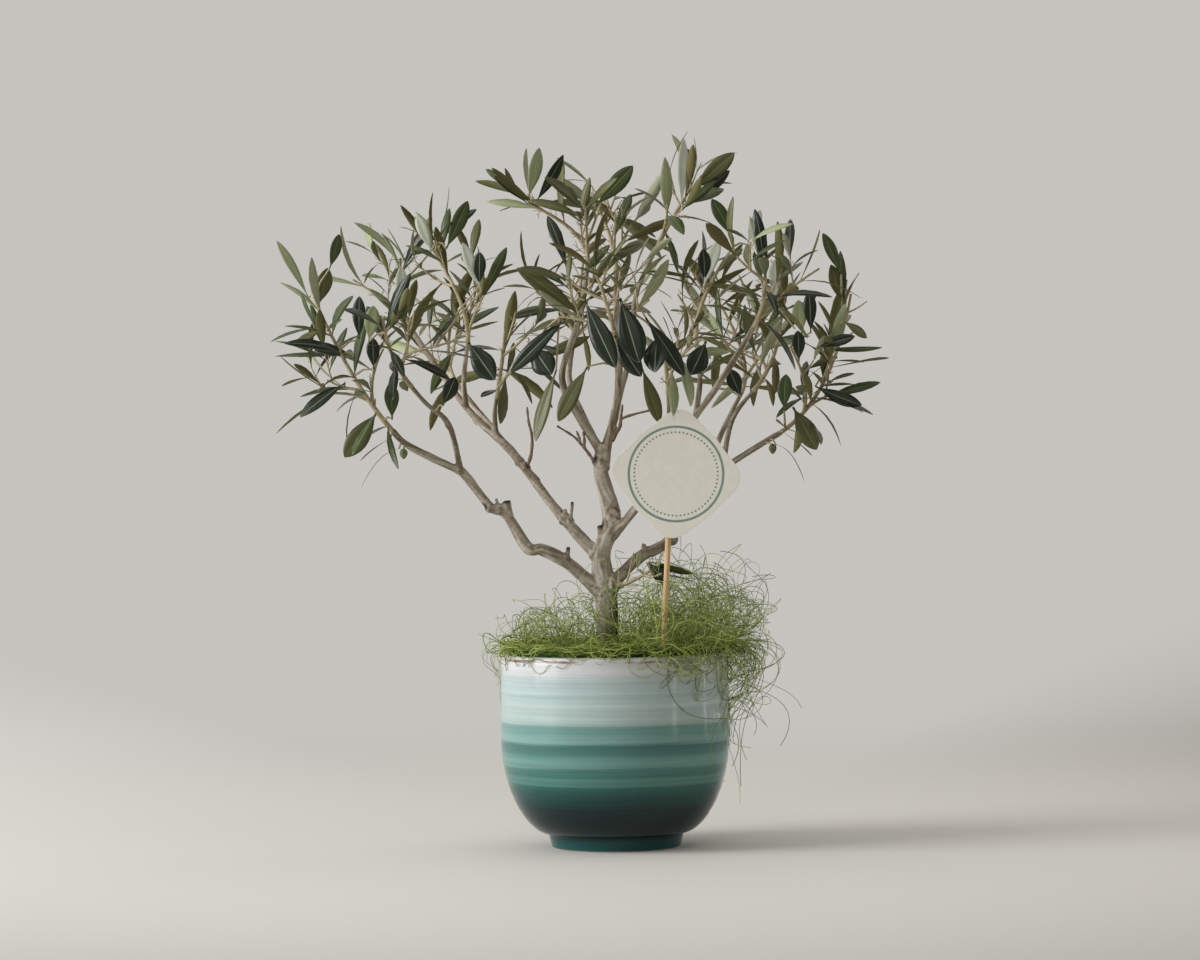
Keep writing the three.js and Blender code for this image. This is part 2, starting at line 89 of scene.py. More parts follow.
def ranged(tree, value, low, high, to_low=0, to_high=1, ease="LINEAR"):
    """A value carried from one range to another, and held at its ends."""
    settings = {"interpolation_type": ease}
    made = node(tree, "MapRange", settings, i0=value, i1=low, i2=high, i3=to_low, i4=to_high)
    return made.outputs["Result"]


def vectors(tree, operation, give="Vector", **sockets):
    return node(tree, "VectorMath", {"operation": operation}, **sockets).outputs[give]


def tone_ramp(tree, factor, stops):
    """Colour ramp through (place, colour) stops."""
    ramp = node(tree, "ValToRGB", Fac=factor)
    marks = ramp.color_ramp.elements
    marks[0].position, marks[1].position = stops[0][0], stops[-1][0]
    marks[0].color, marks[1].color = (*stops[0][1], 1), (*stops[-1][1], 1)
    for place, colour in stops[1:-1]:
        marks.new(place).color = (*colour, 1)
    return ramp.outputs["Color"]


def node_group(name, inputs, outputs):
    """New shader node group with named sockets, and its input and output nodes."""
    group = bpy.data.node_groups.new(name, "ShaderNodeTree")
    for way, sockets in (("INPUT", inputs), ("OUTPUT", outputs)):
        for title, kind in sockets.items():
            group.interface.new_socket(title, in_out=way, socket_type=f"NodeSocket{kind}")
    return group, group.nodes.new("NodeGroupInput").outputs, group.nodes.new("NodeGroupOutput").inputs


def set_out(name, data):
    """Object in the scene, at the origin, unturned and unscaled."""
    made = bpy.data.objects.new(name, data)
    bpy.context.scene.collection.objects.link(made)
    return made


def piece(name, mesh, *materials):
    for material in materials:
        mesh.materials.append(material)
    return set_out(name, mesh)


def from_bmesh(name, form, smooth=True):
    mesh = bpy.data.meshes.new(name)
    for face in form.faces:
        face.smooth = smooth
    form.to_mesh(mesh)
    form.free()
    return mesh


camera = set_out("camera", bpy.data.cameras.new("camera"))
camera.location = (-0.0063, -2.0, 0.1925)
camera.rotation_euler = (math.radians(90), math.radians(0.7), 0)
camera.data.lens = 114.0
camera.data.sensor_width = 36.0
bpy.context.scene.camera = camera
bpy.context.scene.view_settings.view_transform = "Standard"

# Light of the room by direction: bright and cool to the left, warm and dim to the right and in front
room_tone, given, result = node_group("room_tone", {"Direction": "Vector"}, {"Colour": "Color"})
ahead = vectors(room_tone, "NORMALIZE", i0=given["Direction"])
parts = node(room_tone, "SeparateXYZ", Vector=ahead).outputs
sideways = ranged(room_tone, parts["X"], -1, 1)
side_tone = tone_ramp(room_tone, sideways, [(0.05, white), (0.36, grey), (0.62, grey), (0.95, brown)])
front_tone = ranged(room_tone, parts["Y"], -0.15, -0.85, 1.5, 0.62, ease="SMOOTHSTEP")
scaled = vectors(room_tone, "SCALE", i0=side_tone, Scale=front_tone)
room_tone.links.new(vectors(room_tone, "MULTIPLY", i0=scaled, i1=wall_tone), result["Colour"])

# Floor, just under the pot's foot. It fades into the wall between two distances
floor_radius, floor_drop = 6.0, 0.2
fade_start, fade_end = 0.22, 1.1
floor_shape = bmesh.new()
bmesh.ops.create_circle(floor_shape, cap_ends=True, segments=96, radius=floor_radius)
bmesh.ops.translate(floor_shape, verts=floor_shape.verts, vec=(0, 0, -floor_drop * mm))
floor_finish, tree, shader = finish("floor", ink(222, 219, 212), 0.7, 0.2)
spot = place_on(tree)
far = vectors(tree, "LENGTH", "Value", i0=spot)
fade = ranged(tree, far, fade_start, fade_end, ease="SMOOTHSTEP")
wall_colour = node(tree, "Group", {"node_tree": room_tone}, Direction=spot).outputs["Colour"]
wall_light = node(tree, "Emission", Color=wall_colour, Strength=1.0).outputs["Emission"]
blend = node(tree, "MixShader", Fac=fade, i1=shader.outputs["BSDF"], i2=wall_light).outputs["Shader"]
wire(tree.nodes["Material Output"], Surface=blend)
floor_finish.cycles.emission_sampling = "NONE"
floor = piece("floor", from_bmesh("floor", floor_shape), floor_finish)

world = bpy.data.worlds.new("room")
bpy.context.scene.world = world
world.use_nodes = True
tree = world.node_tree
every_way = node(tree, "TexCoord").outputs["Generated"]
air = node(tree, "Group", {"node_tree": room_tone}, Direction=every_way).outputs["Colour"]
wire(tree.nodes["Background"], Color=air, Strength=1.0)


def window(name, place, aim_height, width, height, power, colour=(0.97, 0.985, 1.0)):
    """Soft light from a window or pane, turned to a height on the tree's own axis."""
    light = bpy.data.lights.new(name, "AREA")
    light.shape = "RECTANGLE"
    light.size, light.size_y = width, height
    light.energy = power
    light.color = colour
    lamp = set_out(name, light)
    lamp.location = place
    lamp.rotation_euler = (Vector((0, 0, aim_height)) - Vector(place)).to_track_quat("-Z", "Y").to_euler()


window("left_window", (-1.7, -0.55, 0.8), 0.2, 1.0, 1.5, 34, (0.96, 0.98, 1.0))
window("front_window", (-0.3, -2.2, 1.7), 0.2, 1.2, 0.9, 5, (1.0, 0.99, 0.97))
window("right_window", (1.35, -0.75, 0.45), 0.12, 0.10, 1.1, 1.3)
# Narrow panes further to the back: bearing, width and power
pane_distance, pane_level, pane_aim, pane_height = 1.5, 0.45, 0.12, 1.1
panes = [(12, 0.05, 1.2), (21, 0.02, 0.7), (29, 0.02, 0.7), (38, 0.04, 1.0)]
for number, (bearing, width, power) in enumerate(panes):
    turn = math.radians(bearing)
    place = (pane_distance * math.cos(turn), pane_distance * math.sin(turn), pane_level)
    window(f"right_pane_{number}", place, pane_aim, width, pane_height, power)


# Pot: thrown and glazed stoneware, a round bowl on a low foot with near-upright sides and a rounded
# lip. The glaze is brushed on in level bands, almost white at the lip and blue-green to black below.
pot_height, pot_radius, rim_radius = 101.5, 60.0, 59.5
foot_radius, neck_radius, neck_height = 34.1, 35.4, 7.0
belly_height, belly_fullness = 55.0, 1.8
wall, pot_floor, lip_height = 4.2, 9.0, 1.4
ring_inside, recess = 29.0, 1.6


def bowl_radius(height):
    if height >= belly_height:
        return pot_radius + (rim_radius - pot_radius) * (height - belly_height) / (pot_height - belly_height)
    drop = (belly_height - height) / (belly_height - neck_height)
    return neck_radius + (pot_radius - neck_radius) * (1 - drop ** belly_fullness) ** (1 / belly_fullness)


def curve_heights(low, count):
    """Heights from low to the belly, close together near the foot, where the bowl turns in."""
    return [low + (belly_height - low) * (i / (count - 1)) ** 1.7 for i in range(count)]


def turned(outline, steps):
    """Form turned on the wheel from an outline of (radius, height) pairs, in millimetres."""
    form = bmesh.new()
    profile = [form.verts.new((radius * mm, 0, height * mm)) for radius, height in outline]
    edges = [form.edges.new(pair) for pair in zip(profile, profile[1:])]
    sweep = dict(cent=(0, 0, 0), axis=(0, 0, 1), angle=math.tau, steps=steps, use_merge=True)
    bmesh.ops.spin(form, geom=profile + edges, **sweep)
    bmesh.ops.remove_doubles(form, verts=form.verts, dist=0.01 * mm)
    bmesh.ops.recalc_face_normals(form, faces=form.faces)
    return form


outline = [(0, recess), (ring_inside - 1.5, recess), (ring_inside, recess - 0.5)]
outline += [(ring_inside + 0.4, 0.3), (ring_inside + 1.2, 0), (foot_radius - 0.8, 0)]
outline += [(foot_radius - 0.2, 0.25), (foot_radius, 0.8), (foot_radius + 0.4, 3), (neck_radius - 0.1, 5.4)]
outline += [(bowl_radius(h), h) for h in curve_heights(neck_height, 26)]
outline += [(bowl_radius(h), h) for h in np.linspace(belly_height + 3.5, pot_height - lip_height, 13)]
lip = wall / 2
for turn in range(20, 180, 20):
    reach, rise = lip * math.cos(math.radians(turn)), lip_height * math.sin(math.radians(turn))
    outline.append((rim_radius - lip + reach, pot_height - lip_height + rise))
outline += [(bowl_radius(h) - wall, h) for h in (pot_height - lip_height, 94, 84, 74, 64)]
outline += [(bowl_radius(h) - wall, h) for h in reversed(curve_heights(pot_floor + 3, 14))]
outline += [(bowl_radius(pot_floor + 3) - wall - 4, pot_floor), (0, pot_floor)]

# Faint rings from throwing, and the foot's underside left bare of glaze
glazed, bare, bare_height = 0, 1, 1.7
pot_shape = turned(outline, 144)
for vert in pot_shape.verts:
    height = vert.co.z / mm
    if neck_height < height < pot_height - 4:
        ring = 1 + 0.0011 * math.sin(height * 1.55) + 0.0008 * math.sin(height * 0.83 + 1)
        vert.co.x *= ring
        vert.co.y *= ring
for face in pot_shape.faces:
    middle = face.calc_center_median() / mm
    on_foot = middle.z < bare_height and middle.to_2d().length < foot_radius - 0.3
    face.material_index = bare if on_foot else glazed


def inks(*rows):
    """Stops of a ramp, from rows of a place and the three numbers of an ink."""
    return [(place, ink(*numbers)) for place, *numbers in rows]


def clouds(tree, spot, scale, detail, roughness=0.5, stretch=None):
    """Noise from 0 to 1, finer along the axes with the larger stretch."""
    if stretch:
        spot = node(tree, "Mapping", Vector=spot, Scale=stretch).outputs["Vector"]
    made = node(tree, "TexNoise", Vector=spot, Scale=scale, Detail=detail, Roughness=roughness)
    return made.outputs["Fac"]


def maths(tree, operation, first, second=0.5):
    return node(tree, "Math", {"operation": operation}, i0=first, i1=second).outputs["Value"]


def mixed(tree, share, under, over):
    """A colour with another laid over it by a share."""
    if not isinstance(over, bpy.types.NodeSocket):
        over = (*over, 1)
    return node(tree, "Mix", {"data_type": "RGBA"}, i0=share, i6=under, i7=over).outputs[2]


def bumped(tree, height, strength, distance, **under):
    """Normal that follows a height, on another normal where one is given."""
    made = node(tree, "Bump", Height=height, Strength=strength, Distance=distance, **under)
    return made.outputs["Normal"]


glaze, tree, shader = finish("glaze", ink(180, 205, 200), 0.11, 0.36)
spot = place_on(tree)
height = node(tree, "SeparateXYZ", Vector=spot).outputs["Z"]
# Brush marks, nearly level: a slow sway of the bands, fine streaks and the width of each stroke
sway = clouds(tree, spot, 1.6, 2.0, stretch=(5, 5, 30))
streak = clouds(tree, spot, 1.0, 5.0, 0.62, stretch=(11, 11, 1500))
stroke = clouds(tree, spot, 1.0, 3.0, stretch=(5, 5, 380))
sway_lift = ranged(tree, sway, 0.2, 0.8, -0.0013, 0.0013)
streak_lift = ranged(tree, streak, 0.2, 0.8, -0.0011, 0.0011)
level = maths(tree, "ADD", height, maths(tree, "ADD", sway_lift, streak_lift))
bands = tone_ramp(tree, ranged(tree, level, 0.0, pot_height * mm), inks(
    (0.000, 24, 84, 82), (0.040, 20, 72, 70), (0.068, 12, 40, 40), (0.130, 6, 28, 30),
    (0.212, 9, 40, 39), (0.257, 20, 62, 58), (0.310, 34, 80, 75), (0.338, 44, 94, 87),
    (0.350, 74, 121, 112), (0.385, 80, 127, 118), (0.396, 60, 108, 101), (0.432, 68, 115, 107),
    (0.446, 104, 146, 140), (0.490, 98, 141, 134), (0.508, 72, 119, 113), (0.548, 66, 111, 106),
    (0.560, 116, 154, 149), (0.596, 122, 158, 153), (0.612, 104, 145, 139), (0.648, 114, 152, 146),
    (0.664, 162, 181, 177), (0.760, 175, 190, 188), (0.800, 168, 187, 185), (0.870, 177, 191, 191),
    (0.925, 194, 198, 198), (1.000, 207, 207, 208),
))
thin = ranged(tree, streak, 0.3, 0.75, 0.91, 1.08)
worn = ranged(tree, stroke, 0.3, 0.7, 0.90, 1.09)
brushed = vectors(tree, "SCALE", i0=bands, Scale=maths(tree, "MULTIPLY", thin, worn))
# A thin broken line of bare clay round the lip, where the glaze drew back
edge_low, edge_high = ranged(tree, height, 0.0982, 0.0989), ranged(tree, height, 0.1003, 0.0995)
patchy = ranged(tree, clouds(tree, spot, 1.5, 4.0, 0.6, stretch=(26, 26, 90)), 0.47, 0.6)
rim_line = maths(tree, "MULTIPLY", maths(tree, "MULTIPLY", edge_low, edge_high), patchy)
ridges = bumped(tree, streak, 0.07, 0.0004)
waves = bumped(tree, clouds(tree, spot, 55.0, 1.0), 0.10, 0.0006, Normal=ridges)
gloss = ranged(tree, stroke, 0.3, 0.7, 0.08, 0.17)
wire(shader, Base_Color=mixed(tree, rim_line, brushed, ink(128, 92, 88)), Normal=waves, Roughness=gloss)

# Grain that clay, peat, wood, fibre and paper share: a mask of light and dark, and its relief
wanted = {"Stretch": "Vector", "Fineness": "Float", "Relief": "Float"}
grain_tree, given, result = node_group("grain", wanted, {"Mask": "Float", "Normal": "Vector"})
drawn = vectors(grain_tree, "MULTIPLY", i0=place_on(grain_tree), i1=given["Stretch"])
grains = clouds(grain_tree, drawn, given["Fineness"], 4.0, 0.62)
grain_tree.links.new(grains, result["Mask"])
grain_tree.links.new(bumped(grain_tree, grains, 0.4, given["Relief"]), result["Normal"])


def grained(tree, shader, fineness, relief, *stops, stretch=(1, 1, 1)):
    """Gives a shader a grain: its tones through the stops, and its relief. Returns the mask."""
    settings = {"node_tree": grain_tree}
    grain = node(tree, "Group", settings, Stretch=stretch, Fineness=fineness, Relief=relief).outputs
    tones = tone_ramp(tree, grain["Mask"], inks(*stops))
    wire(shader, Base_Color=tones, Normal=grain["Normal"])
    return grain["Mask"]


clay, tree, shader = finish("clay", ink(196, 178, 152), 0.8, 0.3)
grained(tree, shader, 900.0, 0.0002, (0.3, 168, 148, 122), (0.7, 208, 192, 166))

pot = piece("glazed_pot", from_bmesh("glazed_pot", pot_shape), glaze, clay)
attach(pot, "root")
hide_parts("pot")


# Soil: dark peat that fills the pot to just below the rim, pressed in by hand round the roots.
# Only its own dark crumbs show, where the wood wool leaves a gap.
peat, tree, shader = finish("peat", ink(52, 40, 30), 0.95, 0.2)
grained(tree, shader, 700.0, 0.0005, (0.3, 30, 23, 18), (0.6, 62, 47, 35), (0.78, 104, 84, 62))
crumbs = node(tree, "TexVoronoi", Vector=place_on(tree), Scale=420.0).outputs["Distance"]
wire(shader, Normal=bumped(tree, crumbs, 0.9, 0.0012))
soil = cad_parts["soil"]
soil.data.materials.clear()
soil.data.materials.append(peat)


# Trunk and boughs: one slender leaning stem that forks into spreading limbs, wired and pruned by hand.
# Smooth grey bark with fine lengthwise furrows, swellings at old joints, and short cut stubs.
soil_top, clearance = 92.0, 0.3
# Radius at the start and at the end of each limb, and its way
limbs = {
    "trunk": (6.3, 3.8, [
        (-3, 0, soil_top + clearance), (-3.7, 0, 128), (-6.1, 0, 153),
        (-0.4, 0, 172), (-5.6, 0, 196), (-4.2, 0, 211)]),
    "lower_left_bough": (3.7, 1.7, [
        (-3.9, 0, 130.5), (-23.8, -4, 149), (-37, -6.8, 156.3), (-44.5, -8.3, 157.2),
        (-52.9, -10.3, 171), (-57.5, -11.3, 176.8), (-63.8, -12.5, 179.2),
        (-77.7, -18, 197), (-84, -21, 200.4), (-105.1, -30, 211.3), (-113.5, -34, 219.5)]),
    "lower_left_riser": (1.7, 1.2, [
        (-78.8, -18.8, 197.6), (-84.5, -23, 222), (-96.2, -26, 233.4), (-104.3, -28, 243)]),
    "middle_left_bough": (3.2, 1.5, [
        (-5.8, 0, 150.4), (-28.7, 12, 175.8), (-53, 24, 208), (-77.5, 33, 232.4), (-107.5, 44, 275.5)]),
    "middle_left_spur": (1.5, 1.1, [(-61.5, 28, 217), (-62, 26, 229), (-60.6, 24, 238)]),
    "left_crown_riser": (1.7, 1.2, [(-77.5, 33, 232.4), (-78, 20, 247), (-75, 4, 267)]),
    "back_left_bough": (2, 1.3, [(-40, 18, 192), (-55, 44, 210), (-68, 66, 226), (-84, 80, 246)]),
    "lower_right_bough": (3.6, 1.5, [
        (-2.8, 0, 135.6), (14.3, 6, 151.6), (30, 13, 160.5),
        (45.3, 22, 187.5), (66, 28, 202), (91, 33, 217)]),
    "lower_right_riser": (1.6, 1.2, [(59, 26.5, 197.5), (64.6, 26, 223.7), (77, 28, 240)]),
    "middle_right_bough": (2.8, 1.4, [
        (-0.3, 0, 163.5), (13.4, -9, 179.2), (31.4, -19, 208.7), (54.4, -31, 239.4), (74.6, -41, 271.4)]),
    "middle_right_spur": (1.4, 1.1, [(31.5, -19, 208.9), (30, -21, 226), (29.7, -23, 237.9)]),
    "right_crown_riser": (1.6, 1.2, [(44, -25, 226), (46.6, -16, 245), (45, -4, 266.5)]),
    "back_right_bough": (2, 1.3, [(37, 17, 170.7), (52, 48, 200), (62, 66, 221), (72, 78, 240)]),
    "top_centre_bough": (2.7, 1.3, [(-3.6, 0, 207), (3.8, 8, 237.3), (3.8, 16, 277.3), (3.6, 22, 305.2)]),
    "top_left_bough": (2.7, 1.3, [
        (-4.5, 0, 206), (-16.9, -5, 226.2), (-25.5, -10, 247), (-15.7, -12, 278.4), (-11.2, -8, 306.8)]),
    "top_right_bough": (1.9, 1.2, [(3.4, 8, 235), (11.5, 0, 262), (14, -5, 290), (26.7, -8, 317.4)]),
    "front_bough": (2.1, 1.2, [(-3.5, 0, 201), (0, -12, 222), (4, -34, 242), (3, -54, 262)]),
    "back_bough": (2.2, 1.3, [(-4, 0, 203), (-14, 22, 225), (-22, 48, 246), (-20, 66, 266)]),
}


def chance(seed):
    """Repeatable chance: the same seed always gives the same run of numbers from 0 to 1."""
    state = seed * 2654435761 % 2 ** 32

    def draw():
        nonlocal state
        state = (state * 1664525 + 1013904223) % 2 ** 32
        return state / 2 ** 32

    return draw


def unit(v):
    return v / math.sqrt(v @ v)


def smooth_line(way, steps):
    """Smooth line through a few way points, with a fixed number of steps between them."""
    points = [np.array(p, float) for p in way]
    line = []
    for i in range(len(points) - 1):
        p0, p1, p2, p3 = points[max(i - 1, 0)], points[i], points[i + 1], points[min(i + 2, len(points) - 1)]
        square, cube = 2 * p0 - 5 * p1 + 4 * p2 - p3, 3 * p1 - p0 - 3 * p2 + p3
        for k in range(steps):
            t = k / steps
            line.append(0.5 * (2 * p1 + (p2 - p0) * t + square * t * t + cube * t ** 3))
    return line + [points[-1].copy()]


def painted(tree, name):
    """Value that a mesh carries at its points."""
    return node(tree, "Attribute", {"attribute_name": name}).outputs["Fac"]


def limb_radius(name, t, count):
    """Radius part of the way along a limb, with the slight swellings of old joints."""
    thick, thin, _ = limbs[name]
    radii = []
    for i in (math.floor(t * count), math.ceil(t * count)):
        radii.append((thick + (thin - thick) * i / count) * (1 + 0.07 * math.sin(5.1 * i + thick * 7)))
    share = t * count - math.floor(t * count)
    share = share * share * (3 - 2 * share)
    return radii[0] + (radii[1] - radii[0]) * share


def rod_curve(name, roundness):
    """Empty curve whose splines become round rods, each point with its own radius."""
    curve = bpy.data.curves.new(name, "CURVE")
    curve.dimensions = "3D"
    curve.bevel_depth = mm
    curve.bevel_resolution = roundness
    curve.use_fill_caps = True
    return curve


def add_rod(curve, points, radii):
    rod = curve.splines.new("POLY")
    rod.points.add(len(points) - 1)
    rod.points.foreach_set("co", [c for p in points for c in (p[0] * mm, p[1] * mm, p[2] * mm, 1)])
    rod.points.foreach_set("radius", [float(r) for r in radii])


def mesh_of(made):
    """Mesh of an object with its curve and its modifiers applied. The object itself goes."""
    bpy.context.view_layer.update()
    shape = made.evaluated_get(bpy.context.evaluated_depsgraph_get())
    mesh = bpy.data.meshes.new_from_object(shape)
    data = made.data
    bpy.data.objects.remove(made)
    if isinstance(data, bpy.types.Curve):
        bpy.data.curves.remove(data)
    return mesh


def rods(curve):
    """Mesh of all the rods of a curve."""
    return mesh_of(set_out(curve.name, curve))


def smoothed(mesh):
    mesh.polygons.foreach_set("use_smooth", [True] * len(mesh.polygons))
    return mesh


flare, flare_height = 5.5, 6
collar, collar_length = 0.22, 5
limb_lines = {name: smooth_line(way, 3) for name, (_, _, way) in limbs.items()}
wood = rod_curve("wood", 4)
# The middle of the wood along every limb: place, heading, radius and distance run, for the bark
heart_points = []
reach = 0.0
for name, (_, _, way) in limbs.items():
    line = smooth_line(way, 12)
    last = len(line) - 1
    radii = []
    for i, at in enumerate(line):
        radius = limb_radius(name, i / last, len(limb_lines[name]) - 1)
        if name == "trunk":
            radius += flare * math.exp(-(at[2] - soil_top) / flare_height)
        radii.append(radius)
        before, after = line[max(i - 1, 0)], line[min(i + 1, last)]
        reach += math.dist(before, at)
        heart_points.append((at, unit(after - before), radius, reach))
    if name != "trunk":
        radii = [r * (1 + collar * math.exp(-(i / collar_length) ** 2)) for i, r in enumerate(radii)]
    add_rod(wood, line, radii)

# Knuckles where boughs were pruned, and the stubs that were left: place, end and radius of each
knuckles = [
    ((-63.5, -12.5, 179.2), (-66.6, -13.4, 178.9), 3.0),
    ((-58.5, -11.4, 177.4), (-61, -12, 178.6), 3.0),
    ((-54.2, -10.6, 173), (-55.3, -11.4, 182.4), 2.1),
    ((-55.4, -11, 178), (-55.3, -11.4, 182.2), 2.6),
    ((-59.2, -11.6, 177.5), (-60.8, -12.3, 183.6), 0.85),
    ((-44.5, -8.3, 157), (-41.5, -7.9, 158), 3.5),
    ((-23.8, -4, 148), (-23.5, -5, 157.6), 1.15),
    ((-23.8, -4, 148.5), (-23.7, -4.6, 152.4), 1.8),
    ((-46.4, 21, 199.6), (-44.6, 19.6, 201), 3.4),
    ((-49.5, 22.6, 203.5), (-47.5, 21.6, 200.5), 2.9),
    ((-22, 9, 169), (-21.1, 7.6, 181.4), 0.95),
    ((-24, 9.8, 171.5), (-24.8, 8.6, 177.8), 0.85),
    ((-26, 10.6, 172.6), (-22, 8.6, 169.4), 3.2),
    ((-8.6, 0, 153), (-10.4, 0.6, 155.6), 4.1),
    ((-6.7, -1, 158.5), (-6.7, -2.6, 168.6), 1.35),
    ((-1.6, 0, 171), (1.2, -3.4, 174.6), 3.7),
    ((0.8, -2, 172.4), (2.8, -3.8, 177), 2.0),
    ((-3.4, -0.5, 198), (-4.8, -4.2, 201.6), 2.5),
    ((-4.4, 0, 206), (-3.4, -2.8, 210.5), 3.5),
    ((-5.6, 0, 195), (-9.4, -1.8, 203), 1.6),
    ((31, 13.4, 161), (33.4, 14.2, 158.4), 3.4),
    ((16, 6.6, 152), (16.6, 5.4, 158.6), 1.3),
    ((-6.2, 0, 133.5), (-7.6, -3.6, 134.4), 4.2),
    ((-3.2, 0, 136.6), (1.4, -2.4, 137.6), 4.4),
    ((0.8, -1.6, 136.4), (5.2, -3.6, 137.4), 1.9),
    ((-79, -18.8, 198), (-82.4, -20, 199.8), 2.3),
    ((-84.4, -23, 221.4), (-86.2, -24, 223.4), 1.8),
    ((60, 26.4, 198), (62.5, 27, 196), 2.2),
    ((20, -12.5, 189), (23.4, -13.6, 188), 2.2),
    ((-70, 30.5, 225.5), (-73.5, 31.5, 224), 2.1),
    ((0.4, 3.4, 219), (2.2, 0.6, 221), 2.0),
]
cut_ends = np.array([
    (-55.3, -12.4, 182.8), (-67.4, -14, 178.8), (-21.1, 7.6, 182), (-6.7, -2.8, 169.2), (-4.8, -6.2, 202.8),
    (3.6, -6, 178), (-23.5, -5.2, 158.2), (34.4, 14, 157.2), (-43.6, 18.4, 201.4), (-9.8, -2.4, 203.6),
])
# Stubs end square, knuckles round off. Each has bark of its own, so the distance run jumps
stub_length, bark_jump = 4.9, 20
stub_form = ((0, 1.25), (0.5, 1), (1, 1.1))
knuckle_form = ((0, 1), (0.4, 1.06), (0.75, 0.88), (1, 0.5))
for start, end, radius in knuckles:
    start, end = np.array(start, float), np.array(end, float)
    form = stub_form if np.linalg.norm(end - start) > stub_length else knuckle_form
    points = [start + t * (end - start) for t, _ in form[:-1]] + [end]
    add_rod(wood, points, [radius * share for _, share in form])
    reach += bark_jump
    heart_points.append((end, unit(end - start), radius, reach))

grown = piece("trunk_and_boughs", rods(wood))
remesh = grown.modifiers.new("one_skin", "REMESH")
remesh.mode = "VOXEL"
remesh.voxel_size = 0.62 * mm
soften = grown.modifiers.new("soften", "SMOOTH")
soften.factor = 0.5
soften.iterations = 6
skin = mesh_of(grown)

# Bark that runs with each limb: its furrows, its age by the limb's radius, and the cut wood
furrow_scale, furrow_run, lump_scale, ring_scale = 0.52, Vector((0.05, 0.04, 0.06)), 0.23, 0.9
furrow_lift, lump_lift, ring_lift = 0.16, 0.26, 0.10
youngest, oldest, cut_radius = 1.0, 5.2, 1.6
hearts_tree = kdtree.KDTree(len(heart_points))
for i, (at, _, _, _) in enumerate(heart_points):
    hearts_tree.insert(Vector(at) * mm, i)
hearts_tree.balance()
spots, normals = np.zeros(len(skin.vertices) * 3), np.zeros(len(skin.vertices) * 3)
skin.vertices.foreach_get("co", spots)
skin.vertex_normals.foreach_get("vector", normals)
spots, normals = spots.reshape(-1, 3), normals.reshape(-1, 3)
furrows, ages, lifts = [], [], []
for spot in spots:
    heart, heading, radius, reach = heart_points[hearts_tree.find(spot)[1]]
    p = Vector(spot) / mm
    aside = p - Vector(heart)
    ahead = aside.dot(heading)
    aside -= Vector(heading) * ahead
    reach += ahead
    lines = noise.fractal(aside * furrow_scale + furrow_run * reach, 1.0, 2.0, 2)
    lumps = noise.noise(p * lump_scale)
    rings = noise.noise(Vector((reach * ring_scale, 0.3 * aside.x, 0.3 * aside.z)))
    furrows.append(0.5 + 0.5 * max(-1.0, min(1.0, (lines + 0.3 * rings) * 1.3)))
    ages.append(max(0.0, min(1.0, (radius - youngest) / (oldest - youngest) + 0.22 * lumps)))
    lifts.append(min(1.0, radius / 3.2) * (furrow_lift * lines + lump_lift * lumps + ring_lift * rings))
skin.vertices.foreach_set("co", (spots + normals * np.array(lifts)[:, None] * mm).ravel())
to_cuts = np.sqrt(((spots[:, None] / mm - cut_ends) ** 2).sum(2)).min(1)
for title, values in (("cut", np.clip(2.0 - to_cuts / cut_radius, 0, 1)), ("furrow", furrows), ("age", ages)):
    skin.attributes.new(title, "FLOAT", "POINT").data.foreach_set("value", values)

bark, tree, shader = finish("bark", ink(150, 138, 118), 0.72, 0.35)
spot, furrow = place_on(tree), painted(tree, "furrow")
spot_parts = node(tree, "SeparateXYZ", Vector=spot).outputs
old_bark = tone_ramp(tree, furrow, inks(
    (0.1, 136, 124, 107), (0.4, 168, 159, 145), (0.65, 188, 181, 169), (0.9, 206, 200, 190)))
young_bark = tone_ramp(tree, furrow, inks((0.15, 110, 96, 78), (0.5, 146, 133, 112), (0.85, 176, 164, 143)))
# Stains in patches, moss low on the trunk, and the right side dark at the foot: damp algae and painted shade
both = mixed(tree, painted(tree, "age"), young_bark, old_bark)
stain = ranged(tree, clouds(tree, spot, 95.0, 4.0, 0.6), 0.55, 0.8, 0, 0.3)
moss = ranged(tree, spot_parts["Z"], 0.137, 0.11, 0, 0.9)
# Right side at the foot: painted shade, with damp algae
right_side_shade = ranged(tree, spot_parts["X"], -0.0015, 0.002)
damp_and_painted_shade = maths(tree, "MULTIPLY", right_side_shade, ranged(tree, spot_parts["Z"], 0.136, 0.124, 0, 0.95))
mossy = mixed(tree, moss, mixed(tree, stain, both, ink(92, 80, 60)), ink(64, 60, 34))
barked = mixed(tree, painted(tree, "cut"), mixed(tree, damp_and_painted_shade, mossy, ink(34, 34, 18)), ink(36, 29, 25))
wire(shader, Base_Color=barked, Normal=bumped(tree, furrow, 0.6, 0.0003))

boughs = piece("trunk_and_boughs", smoothed(skin), bark)
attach(boughs, "root")
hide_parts(*limbs)


# Dead twigs: thin dry ends of old shoots, left on the boughs, brittle and red-brown.
# Each grows out of the bough that carries it.
dead_twigs = [
    [(-45.4, 20, 199), (-42.8, 19, 206.2), (-42.1, 17.4, 215.8), (-43.8, 16, 224), (-44.5, 15, 231.7)],
    [(-8.4, -1.6, 201.6), (-10.4, -2.2, 204), (-13.5, -3, 208.4), (-16.6, -3.5, 212.1),
     (-20.2, -4, 215.8), (-28.5, -6, 221.1)],
    [(-14.6, -3.2, 209.8), (-14.2, -3.8, 214), (-15, -4, 218)],
    [(-16.6, -3.5, 212.1), (-17, -4, 215), (-18.3, -4.2, 218.4)],
    [(0.4, 0, 213), (4.6, -3.4, 220.6), (6.4, -4.6, 225), (20.9, -6, 228.9)],
    [(4.6, -3.4, 220.6), (5.2, -4, 226), (6, -4.4, 232)],
]
dry = rod_curve("dead_twigs", 1)
